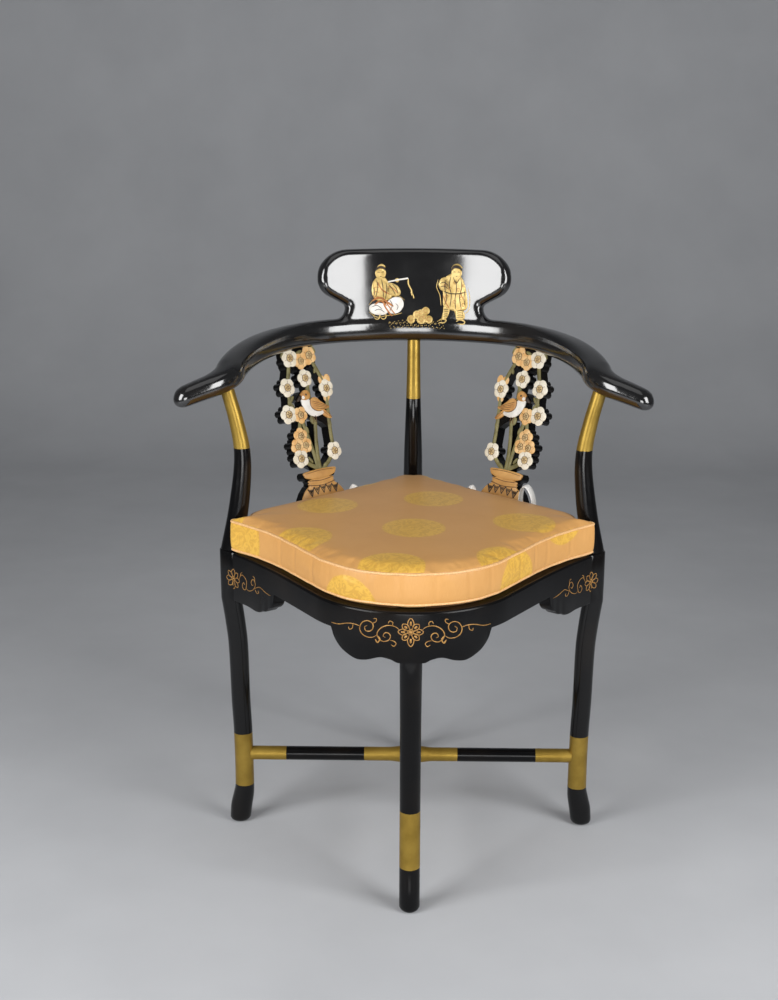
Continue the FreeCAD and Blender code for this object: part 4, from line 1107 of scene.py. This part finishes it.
class SplatPlane:
    """A splat's own plane: u runs to the back post, v up the board, and lift stands out of its front."""

    def __init__(self, sign):
        outward = Vector((sign * SIN45, SIN45, 0))
        self.u = Vector((-sign * SIN45, SIN45, 0))
        self.v = outward * math.sin(SPLAT_LEAN) + Vector((0, 0, math.cos(SPLAT_LEAN)))
        self.front = -(outward * math.cos(SPLAT_LEAN) - Vector((0, 0, math.sin(SPLAT_LEAN))))
        self.origin = outward * SPLAT_FRONT + Vector((0, 0, SEAT_TOP))

    def at(self, u, v, lift):
        return spot(*(self.origin + self.u * u + self.v * v + self.front * lift))


SUNK = 0.6


class Relief:
    """Low raised shapes on a splat, gathered into one piece of one paint."""

    def __init__(self, name, plane, finish):
        self.name = name
        self.plane = plane
        self.finish = finish
        self.heap = Heap()

    def mound(self, outline, height, base=0.0, edge=0.45):
        """A rounded form over an outline that its own middle can see."""
        middle = sum((Vector(p) for p in outline), Vector((0, 0))) / len(outline)
        levels = [(1.0, -SUNK)]
        levels += [(s, height * (edge + (1 - edge) * math.sqrt(1 - s * s)))
                   for s in (1.0, 0.92, 0.75, 0.5, 0.2)]
        self.heap.rings([[self.plane.at(*middle.lerp(Vector(p), scale), base + lift) for p in outline]
                         for scale, lift in levels])

    def oval(self, u, v, long, wide, angle, height, base=0.0, count=18):
        c, s = math.cos(angle), math.sin(angle)
        self.mound([(u + c * long * math.cos(t) - s * wide * math.sin(t),
                     v + s * long * math.cos(t) + c * wide * math.sin(t))
                    for t in turns(count)], height, base)

    def blob(self, points, height, base=0.0, count=5):
        outline = curve_points([(*p, 0) for p in points], count, closed=True)
        self.mound([tuple(p[:2]) for p in outline], height, base)

    def cord(self, points, width, height, base=0.0, count=8, taper=False):
        """A half-round stroke along a smooth curve."""
        rings = []
        for p, side, half in stroke(points, width, count, 0.3 if taper else 1.0):
            section = [(-1.0, -SUNK)]
            section += [(math.cos(t), height * (0.3 + 0.7 * math.sin(t))) for t in steps(math.pi, 0.0, 6)]
            section.append((1.0, -SUNK))
            rings.append([self.plane.at(p.x + side.x * half * out, p.y + side.y * half * out, base + lift)
                          for out, lift in section])
        self.heap.rings(rings)

    def done(self):
        self.heap.piece(self.name, self.finish, "painted_carving")


# Blossoms as u, v, size, turn in degrees, and whether the paint is peach
BLOSSOMS = [(-17, 263, 14.8, 0, False), (4, 256, 12.8, 30, True), (22, 263, 14.6, 20, True),
            (6, 229, 13.8, 10, False), (-32, 219, 14.4, 25, False), (45, 208, 14.2, 5, False),
            (-39, 178, 14.6, 15, False), (-16, 174, 13.2, 40, True), (-23, 142, 13.0, 0, True),
            (-33, 127, 12.2, 30, True), (-17, 127, 12.6, 10, True), (-31, 108, 14.4, 20, False),
            (38, 110, 14.2, 35, False)]
STEMS = [[(4, 84), (5, 120), (12, 162)], [(0, 84), (-4, 118), (-16, 174)], [(8, 84), (24, 96), (38, 110)],
         [(38, 110), (39, 150), (45, 208)], [(45, 208), (37, 232), (22, 263)],
         [(-39, 178), (-31, 200), (-32, 219)], [(-32, 219), (-25, 236), (-17, 263)],
         [(8, 196), (9, 212), (6, 228)], [(0, 88), (-14, 96), (-31, 108)],
         [(-31, 108), (-30, 118), (-23, 142)], [(-23, 142), (-21, 156), (-16, 174)]]

# Leaves as u, v and lean in radians
LEAVES = [(-27, 200, 0.9), (-28, 190, 2.0), (16, 92, 0.5), (-12, 103, 2.2), (40, 150, 1.3), (41, 170, 1.9),
          (9, 215, 0.8), (-8, 150, 1.9), (30, 240, 1.2), (-29, 271, 1.1), (34, 271, 2.0), (4, 270, 0.3)]
PAINTS = {"cream": CREAM, "peach": PEACH, "honey": HONEY, "brown": BROWN, "stems": OLIVE, "vase": CLAY,
          "wing": TAWNY, "breast": WHITE, "ink": INK}

for side, sign in (("left", -1), ("right", 1)):
    plane = SplatPlane(sign)
    reliefs = [Relief("%s_splat_%s" % (side, part), plane, finish) for part, finish in PAINTS.items()]
    cream, peach, honey, brown, olive, clay, tawny, white, dark = reliefs
    for path in STEMS:
        olive.cord(path, 6.6, 1.5)
    for u, v, lean in LEAVES:
        olive.oval(u, v, 6.4, 2.6, lean, 2.3)
    olive.oval(7, 163, 5.0, 7.0, 0.3, 1.6)
    for u, v, size, turn, is_peach in BLOSSOMS:
        petals, base = (peach, 0.6) if is_peach else (cream, 1.0)
        middle = Vector((u, v))
        for degrees in range(90 + turn, 450 + turn, 72):
            angle = math.radians(degrees)
            petal, stamen = middle + polar(0.52 * size, degrees), middle + polar(0.17 * size, degrees)
            petals.oval(*petal, 0.52 * size, 0.53 * size, angle, 1.7, base)
            brown.oval(*stamen, 0.13 * size, 0.05 * size, angle, 0.6, base + 2.4, 8)
            brown.cord([middle + polar(share * size, degrees + 36) for share in (0.45, 0.72)], 0.5, 0.3,
                       base + 1.5, 3)
        honey.oval(u, v, 0.38 * size, 0.38 * size, 0, 1.2, base + 1.3)
        brown.cord([middle + polar(0.42 * size, a) for a in steps(0.0, 360.0, 14)], 0.5, 0.4, base + 2.1, 2)
    for u, v, angle in ((44, 195, 1.2), (51, 222, 1.6), (40, 222, 1.9)):
        peach.oval(u, v, 8.0, 6.4, angle, 1.4)

    # The bird, with its head to the side post and its tail to the back post
    white.blob([(-8, 199), (-9, 190), (-4, 179), (4, 171), (14, 167.5), (25, 168.5), (33, 171), (25, 180),
                (13, 190), (3, 198)], 2.8)
    tawny.blob([(7, 193), (14, 197.5), (21, 196), (28, 190), (36, 184), (44, 179), (36, 176.5), (26, 175),
                (17, 176), (9, 181), (6, 187)], 2.2, 1.5)
    tawny.blob([(-10, 199), (-9, 205), (-3, 210), (4, 210.5), (9, 206), (9, 199), (3, 195.5), (-4, 195.5)],
               3.0, 0.6)
    tawny.blob([(32, 176), (40, 171), (46, 163), (43, 160.5), (36, 163), (29, 169)], 2.0, 0.5)
    white.oval(-4.2, 200.6, 4.4, 3.2, 0.5, 0.9, 2.6, 16)
    dark.blob([(-9, 204), (-14, 201.5), (-19, 196), (-15, 194.5), (-9, 197.5)], 2.6, 1.0)
    dark.oval(0.6, 203.6, 1.7, 1.7, 0, 0.8, 3.3, 12)
    for shift in (0.0, 4.0, 8.0, 12.0):
        brown.cord([(11 + 0.5 * shift, 192 - shift), (22 + 0.3 * shift, 188 - 0.8 * shift),
                    (41 - 0.5 * shift, 180 - 0.3 * shift)], 0.9, 0.6, 3.3, taper=True)
    brown.cord([(8, 194), (6.4, 187), (10, 180), (18, 175.6), (27, 174.6)], 0.9, 0.6, 2.9, taper=True)
    for shift in (-2.0, 2.0):
        brown.cord([(33 + shift, 173), (39 + shift, 168), (44 + 0.5 * shift, 162)], 1.0, 0.6, 2.0, taper=True)
    for u in (8, 13):
        brown.cord([(u, 169), (u + 0.8, 163), (u - 1.2, 159)], 1.1, 0.8, 1.6, 4)

    # The vase: round belly, lappets under the neck, and a rolled rim
    belly = [(22, 68), (25, 63.5), (35, 56), (43, 45), (46, 33), (44, 18), (38, 4), (34, 1)]
    clay.blob(belly + [(-u, v) for u, v in reversed(belly)], 4.2, 0.2, 4)
    clay.blob([(24, 72), (22, 67), (0, 63.5), (-22, 67), (-24, 72), (0, 74)], 2.4, 1.2, 4)
    clay.blob([(30, 85.5), (32, 80.5), (26, 75), (0, 71.5), (-26, 75), (-32, 80.5), (-30, 85.5), (0, 87)],
              3.2, 1.4, 4)
    brown.cord([(-30, 83), (0, 84.6), (30, 83)], 0.9, 0.5, 4.0, 8, taper=True)
    brown.cord([(-25, 71.5), (0, 69.2), (25, 71.5)], 1.2, 0.6, 3.2, 8, taper=True)
    brown.cord([(-26, 64.5), (0, 61.5), (26, 64.5)], 1.3, 0.6, 3.4, 8)
    for k in range(-2, 3):
        u = 12.4 * k
        top = 61.8 - 0.0035 * u * u
        tip = top - 12.5
        for away in (-1, 1):
            dark.cord([(u + away * 6.0, top), (u + away * 3.0, (top + tip) / 2), (u, tip)], 1.5, 0.6, 3.9)
        for shift in (-2.6, 0.0, 2.6):
            dark.cord([(u + shift, top - 1.5), (u + 0.5 * shift, tip + 4.0 + abs(shift))], 0.9, 0.5, 4.1, 4,
                      taper=True)
    for part in reliefs:
        part.done()


# Cushion: a stuffed box cushion, swelled by simulation, with piping round both seams
POST_GAP = 4.0
SPLAT_GAP = 2.0
CUSHION_SIDE = 243.0
SIDE_NOTCH = 10.0
CUSHION_MIDDLE = 465.0
OUTLINE_HEIGHTS = (430.0, 500.0)
SCALE_Y = -20.0

# Mesh size of the cover and the most that it may swell, in metres, and the simulation's length and pressure
CUSHION_VOXEL = 0.0045
CUSHION_CAP = 0.0045
SWELL_FRAMES = 20
SWELL_PRESSURE = 4.0


def cushion_edge(gap):
    """Points and outward directions round the cushion, seen from above."""
    clear = POST_WIDTH[0] / 2 + POST_GAP
    back_line = (SPLAT_FRONT - SPLAT_GAP) / SIN45
    hollow = back_line - 1.25 * clear
    tip = (KNEE_REACH + 13.0, -clear - 10.0)
    right = [p for p, n in front_edge(NOSE_REACH - NOSE_INSET, NOSE_RADIUS - 2.0, tip, gap)]
    right += [Vector((KNEE_REACH + x, -clear - y)) for x, y in ((12.6, 5.0), (10.0, 1.2), (5.0, 0.0))]
    corner = Vector((CUSHION_SIDE + SIDE_NOTCH, SIDE_NOTCH - clear))
    right += [corner + polar(SIDE_NOTCH, a) for a in steps(270.0, 180.0, 5)]
    right.append(Vector((CUSHION_SIDE, back_line - CUSHION_SIDE)))
    ear = Vector((clear * SIN45, back_line - clear * SIN45))
    right.append(ear)
    right += [Vector((ear.x * c, hollow + (ear.y - hollow) * c * c)) for c in (0.75, 0.5, 0.25, 0.0)]
    outline = right + [Vector((-p.x, p.y)) for p in reversed(right[1:-1])]
    even = []
    for a, b in zip(outline, outline[1:] + outline[:1]):
        count = max(1, round((b - a).length / gap))
        even += [a.lerp(b, k / count) for k in range(count)]
    even = evened(even, 3)
    out = []
    for k, p in enumerate(even):
        run = even[(k + 1) % len(even)] - even[k - 1]
        out.append((p, Vector((run.y, -run.x)).normalized()))
    return out


edge = cushion_edge(3.0)
runs = [0.0]
for (a, _), (b, _) in zip(edge, edge[1:] + edge[:1]):
    runs.append(runs[-1] + (b - a).length)
around = runs[-1]
outline_tree = BVHTree.FromPolygons(
    [spot(p.x, p.y, z) for z in OUTLINE_HEIGHTS for p, n in edge],
    [(k, (k + 1) % len(edge), (k + 1) % len(edge) + len(edge), k + len(edge)) for k in range(len(edge))])


def depth_behind(p, n):
    """Distance through the cushion from a point of its outline, in millimetres."""
    start = spot(p.x - n.x, p.y - n.y, CUSHION_MIDDLE)
    hit, _, _, distance = outline_tree.ray_cast(start, Vector((-n.x, -n.y, 0)))
    return distance / MM if hit else 100.0


# Insets stay small where the cushion is narrow, so that its corners keep their shape
INSET_SHARE = 0.22
limits = [INSET_SHARE * depth_behind(p, n) for p, n in edge]
for _ in range(4):
    following = limits[1:] + limits[:1]
    limits = [min(limits[k], (limits[k - 1] + following[k]) / 2 + 0.5) for k in range(len(edge))]


def cushion_ring(inset, z, scale=1.0):
    """The outline drawn in by an inset, and scaled about a point near the seat's middle."""
    ring = []
    for (p, n), limit in zip(edge, limits):
        x, y = p.x - n.x * min(inset, limit), p.y - n.y * min(inset, limit)
        ring.append(spot(x * scale, (y - SCALE_Y) * scale + SCALE_Y, z))
    return ring


rings = [cushion_ring(inset + SWELL, z) for inset, z in
         ((3.4, CUSHION_LOW + 0.8), (1.0, CUSHION_LOW + 2.8), (-0.4, CUSHION_LOW + 12),
          (-0.8, CUSHION_LOW + 21), (-0.6, CUSHION_LOW + 32), (-0.2, CUSHION_TOP - 8), (0.3, CUSHION_TOP - 4),
          (2.4, CUSHION_TOP - 1.8))]
rings += [cushion_ring(SWELL + 2.4, CUSHION_TOP - 1.8 + (CUSHION_CROWN - 1) * (1 - s * s) ** 0.75, s)
          for s in (0.97, 0.9, 0.8, 0.65, 0.5, 0.35, 0.2, 0.08)]
heap = Heap()
heap.rings(rings)
cushion = heap.piece("cushion_cover", BROCADE, "brocade", "cushion", ["cushion"])
fused(cushion, CUSHION_VOXEL, 2)


def swelled(piece, frames, pressure, cap):
    """Blows the cover up like filled cloth, and keeps each point within the cap of where it was."""
    rest = [v.co.copy() for v in piece.data.vertices]
    change = piece.modifiers.new("filling", "CLOTH")
    change.settings.use_pressure = True
    change.settings.uniform_pressure_force = pressure
    change.settings.effector_weights.gravity = 0
    change.settings.tension_stiffness = 25
    change.settings.compression_stiffness = 25
    change.settings.bending_stiffness = 1.5
    change.point_cache.frame_start = 1
    change.point_cache.frame_end = frames
    scene = bpy.context.scene
    for moment in range(1, frames + 1):
        scene.frame_set(moment)
    graph = bpy.context.evaluated_depsgraph_get()
    moved = [v.co.copy() for v in piece.evaluated_get(graph).data.vertices]
    piece.modifiers.remove(change)
    scene.frame_set(1)
    for v, start, end in zip(piece.data.vertices, rest, moved):
        way = end - start
        if way.length > cap:
            way *= cap / way.length
        v.co = start + way


swelled(cushion, SWELL_FRAMES, SWELL_PRESSURE, CUSHION_CAP)

# Puckers near the seams, a flat underside, and one subdivision
CREASES = (-318, -262, -221, -171, -128, -58, -17, 34, 83, 121, 196, 238, 271, 326)
CREASE_WIDTH = 3.2
SEAM_SPREAD = (9.0, 8.0)
EDGE_FADE = 16.0


def edge_place(co):
    """Distance to the cushion's outline, and the run along it from the nose, positive on the right side."""
    hit, _, face, distance = outline_tree.find_nearest(Vector((co.x, co.y, CUSHION_MIDDLE * MM)))
    run = runs[face] + (Vector((hit.x / MM, (hit.y - CENTRE_Y) / MM)) - edge[face][0]).length
    return distance / MM, run if run < around / 2 else run - around


for v in cushion.data.vertices:
    away, run = edge_place(v.co)
    z = v.co.z / MM
    seam = math.exp(-((z - TOP_SEAM) / SEAM_SPREAD[0]) ** 2)
    seam += 0.7 * math.exp(-((z - LOW_SEAM) / SEAM_SPREAD[1]) ** 2)
    near = math.exp(-away / EDGE_FADE)
    ripple = noise.noise(Vector((run / 11.0, 0.3, z / 60.0)))
    ripple += 0.6 * noise.noise(Vector((run / 4.6, 4.0, z / 40.0)))
    swell = noise.noise(Vector((v.co.x * 9, v.co.y * 9, 2.0)))
    crease = sum(math.exp(-((run - place) / CREASE_WIDTH) ** 2) for place in CREASES)
    lift = 0.7 * near * (0.35 + seam) * ripple + 0.5 * swell - near * (0.9 * seam + 1.1 * crease)
    v.co += v.normal * (MM * lift)
    v.co.z = max(v.co.z, CUSHION_LOW * MM)
with reshaped(cushion.data) as work:
    bmesh.ops.subdivide_edges(work, edges=work.edges, cuts=1, use_grid_fill=True, smooth=0.8)
softened(cushion.data, 1)

# The cloth's own coordinates, with upright threads on the boxing, and places from the nearest medallion
MEDAL_AT = Vector((2.5, -96.5))
MEDAL_ROW = Vector((157.0, 39.0))
MEDAL_COLUMN = Vector((29.0, 158.0))
TOP_MEDALS = [MEDAL_AT + MEDAL_ROW * i + MEDAL_COLUMN * j for i in range(-3, 4) for j in range(-3, 4)]
BOXING_MEDALS = [(-358, 466), (-92, 434), (186, 447), (311, 516), (480, 462), (700, 440), (-560, 470)]


def nearest(medals, a, b):
    return min(medals, key=lambda medal: (medal[0] - a) ** 2 + (medal[1] - b) ** 2)


threads = cushion.data.uv_layers.new(name="cloth")
medals = cushion.data.uv_layers.new(name="medal")
for face in cushion.data.polygons:
    middle = face.center
    level = middle.z / MM
    upright = abs(face.normal.z) < 0.78 and LOW_SEAM - 1.0 < level < TOP_SEAM - 0.8
    middle_run = edge_place(middle)[1] if upright else 0.0
    if upright:
        home = nearest(BOXING_MEDALS, middle_run, level)
    else:
        home = nearest(TOP_MEDALS, middle.x / MM, (middle.y - CENTRE_Y) / MM)
    for loop in face.loop_indices:
        co = cushion.data.vertices[cushion.data.loops[loop].vertex_index].co
        a, b = co.x / MM, (co.y - CENTRE_Y) / MM
        if upright:
            a, b = edge_place(co)[1], co.z / MM
            a -= around * round((a - middle_run) / around)
        threads.data[loop].uv = (b * MM, a * MM) if upright else (a * MM, b * MM)
        medals.data[loop].uv = ((a - home[0]) * MM, (b - home[1]) * MM)
cushion.data.shade_smooth()

cover = surface_of("cushion_cover")
SEAM_TRIES = 7
SEAM_OUTSIDE = 12.0
SEAM_REACH = 18.0


def seam_points(z, way):
    """Where a seam runs round the cover: at a height, or a few small steps lower or higher."""
    points = []
    for p, n in edge:
        found = None
        for change in range(SEAM_TRIES):
            outside = spot(p.x + n.x * SEAM_OUTSIDE, p.y + n.y * SEAM_OUTSIDE, z + way * change)
            found = found or cover.ray_cast(outside, Vector((-n.x, -n.y, 0)), SEAM_REACH * MM)[0]
        points.append(found or cover.find_nearest(spot(p.x, p.y, z))[0])
    return evened(points, 10)


def tube(points, radius, count=10):
    """Rings of a round cord along a closed run of points."""
    rings = []
    total = len(points)
    for k, p in enumerate(points):
        run = (points[(k + 1) % total] - points[k - 1]).normalized()
        side = run.cross(Vector((0, 0, 1))).normalized()
        up = side.cross(run)
        rings.append([p + side * (radius * MM * math.cos(t)) + up * (radius * MM * math.sin(t))
                      for t in turns(count)])
    return rings


for name, z, way in (("top_piping", TOP_SEAM, -0.6), ("low_piping", LOW_SEAM, 0.4)):
    heap = Heap()
    heap.rings(tube(seam_points(z, way), PIPING), loop=True)
    heap.piece(name, EDGING, "brocade", "cushion")


# Ribbon ties: a loop and a short end beside each vase, drawn up from the cushion's back seam
RIBBON_THICKNESS = 0.5
RIBBON_PARTS = 6
RIBBON_ROUTE = [(-15, -6), (-14, 6), (-12.5, 18), (-8, 29), (-1, 36), (6, 35), (11, 26), (13.5, 13), (14, -5)]
LOW_ROUTE = [(-17, -11), (-15, -5.5), (-10, -2), (-2, -0.5), (5, -1), (11, -4), (15, -10)]
END_ROUTE = [(-7, -1), (-5.5, 8), (-1.5, 14), (3, 13.5), (5.5, 7), (7, -1)]
RIBBON_FRONT = SPLAT_FRONT - 6.0
RIBBON_FOOT = SEAT_TOP + 40.0


def ribbon(name, sign, route, along, ties=()):
    """A ribbon along a route beside a vase, cupped across and leaning forward in its middle."""
    plane_u = Vector((-sign * SIN45, SIN45, 0))
    outward = Vector((sign * SIN45, SIN45, 0))
    foot = outward * RIBBON_FRONT + plane_u * along + Vector((0, 0, RIBBON_FOOT))
    path = curve_points([(*p, 0) for p in route], 8)
    last = len(path) - 1
    length = sum((b - a).length for a, b in zip(path, path[1:]))
    verts = []
    for k, p in enumerate(path):
        run = path[min(k + 1, last)] - path[max(k - 1, 0)]
        normal = (plane_u * -run.y + Vector((0, 0, run.x))).normalized()
        twist = math.sin(math.pi * k / last)
        centre = foot + plane_u * p.x + Vector((0, 0, p.y)) - outward * (2.0 * twist)
        across = (outward + Vector((0, 0, 0.25 * twist))).normalized()
        for w in steps(-0.5, 0.5, RIBBON_PARTS):
            cup = 0.8 * (1 - (2 * w) ** 2)
            verts.append(spot(*(centre + across * (w * RIBBON_WIDTH) + normal * cup)))
    wide = RIBBON_PARTS + 1
    faces = [(r + k, r + k + 1, r + wide + k + 1, r + wide + k)
             for r in range(0, last * wide, wide) for k in range(RIBBON_PARTS)]
    mesh = bpy.data.meshes.new(name)
    mesh.from_pydata(verts, [], faces)
    piece = add_piece(name, mesh, RIBBON, "cushion", ties)
    thickened(piece, RIBBON_THICKNESS, 0)


ribbon("left_ribbon", -1, LOW_ROUTE, -60.0, ["left_tie"])
ribbon("right_ribbon", 1, RIBBON_ROUTE, -67.0, ["right_tie"])
ribbon("left_ribbon_end", -1, END_ROUTE, 48.0)
ribbon("right_ribbon_end", 1, END_ROUTE, 48.0)

# Finishes of the pieces kept from the frame
for name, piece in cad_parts.items():
    finish = SATIN
    if "block" in name or "panel" in name or "tenon" in name:
        finish = WOOD
    if "screw" in name:
        finish = STEEL
    piece.data.materials.clear()
    piece.data.materials.append(finish)

# Camera at the photograph's place
CAMERA_AT = (4.0, -2150.0, 1100.0)
SENSOR = 36.0
LENS = 54.9
YAW, PITCH, ROLL = (math.radians(a) for a in (-1.02, 15.23, 0.15))
ahead = Vector((math.sin(YAW) * math.cos(PITCH), math.cos(YAW) * math.cos(PITCH), -math.sin(PITCH)))
level = Vector((math.cos(YAW), -math.sin(YAW), 0))
upward = level.cross(ahead)
right = level * math.cos(ROLL) + upward * math.sin(ROLL)
top = upward * math.cos(ROLL) - level * math.sin(ROLL)
lens = bpy.data.cameras.new("camera")
lens.sensor_fit = "VERTICAL"
lens.sensor_height = SENSOR
lens.lens = LENS
camera = placed("camera", lens)
turn = Matrix((right, top, -ahead)).transposed()
camera.matrix_world = Matrix.Translation(spot(*CAMERA_AT)) @ turn.to_4x4()
bpy.context.scene.camera = camera

# Plain pale floor that rises into a backdrop, in metres
FLOOR_HALF = 6.0
FLOOR_BACK = 2.2
COVE = 1.2
profile = [(-FLOOR_HALF, 0.0), (FLOOR_BACK, 0.0)]
profile += [(FLOOR_BACK + COVE * math.sin(a), COVE * (1 - math.cos(a)))
            for a in steps(0.0, math.pi / 2, 12)[1:]]
profile.append((FLOOR_BACK + COVE, FLOOR_HALF))
floor_mesh = bpy.data.meshes.new("floor")
floor_mesh.from_pydata([(x, y, z) for y, z in profile for x in (-FLOOR_HALF, FLOOR_HALF)], [],
                       [(2 * k, 2 * k + 1, 2 * k + 3, 2 * k + 2) for k in range(len(profile) - 1)])
coated(floor_mesh, paint("floor_paint", (0.49, 0.50, 0.52), (0.54, 0.55, 0.57), 3.0, 0.8, grain=0.02))
floor = placed("floor", floor_mesh)

# Weak light from all round, two softboxes, and weak lights from above and in front, in metres
SKY_TINT = (0.95, 0.97, 1.0, 1)
SKY_STRENGTH = 0.11
world = bpy.data.worlds.new("studio")
bpy.context.scene.world = world
world.use_nodes = True
sky = world.node_tree.nodes["Background"].inputs
sky[0].default_value = SKY_TINT
sky[1].default_value = SKY_STRENGTH


def softbox(name, place, aim, width, height, watts):
    light = bpy.data.lights.new(name, "AREA")
    light.shape = "RECTANGLE"
    light.size, light.size_y = width, height
    light.energy = watts
    lamp = placed(name, light)
    lamp.location = place
    lamp.rotation_euler = (Vector(aim) - Vector(place)).to_track_quat("-Z", "Y").to_euler()


for name, x in (("left_softbox", -1.55), ("right_softbox", 1.55)):
    softbox(name, (x, -1.35, 1.2), (0, 0, 0.75), 1.1, 1.5, 40)
softbox("overhead", (0.0, -0.4, 2.9), (0, 0, 0.4), 1.8, 1.8, 5)
softbox("front", (0.0, -2.4, 0.4), (0, 0, 0.45), 1.0, 0.6, 13)

bpy.context.scene.view_settings.view_transform = "Standard"
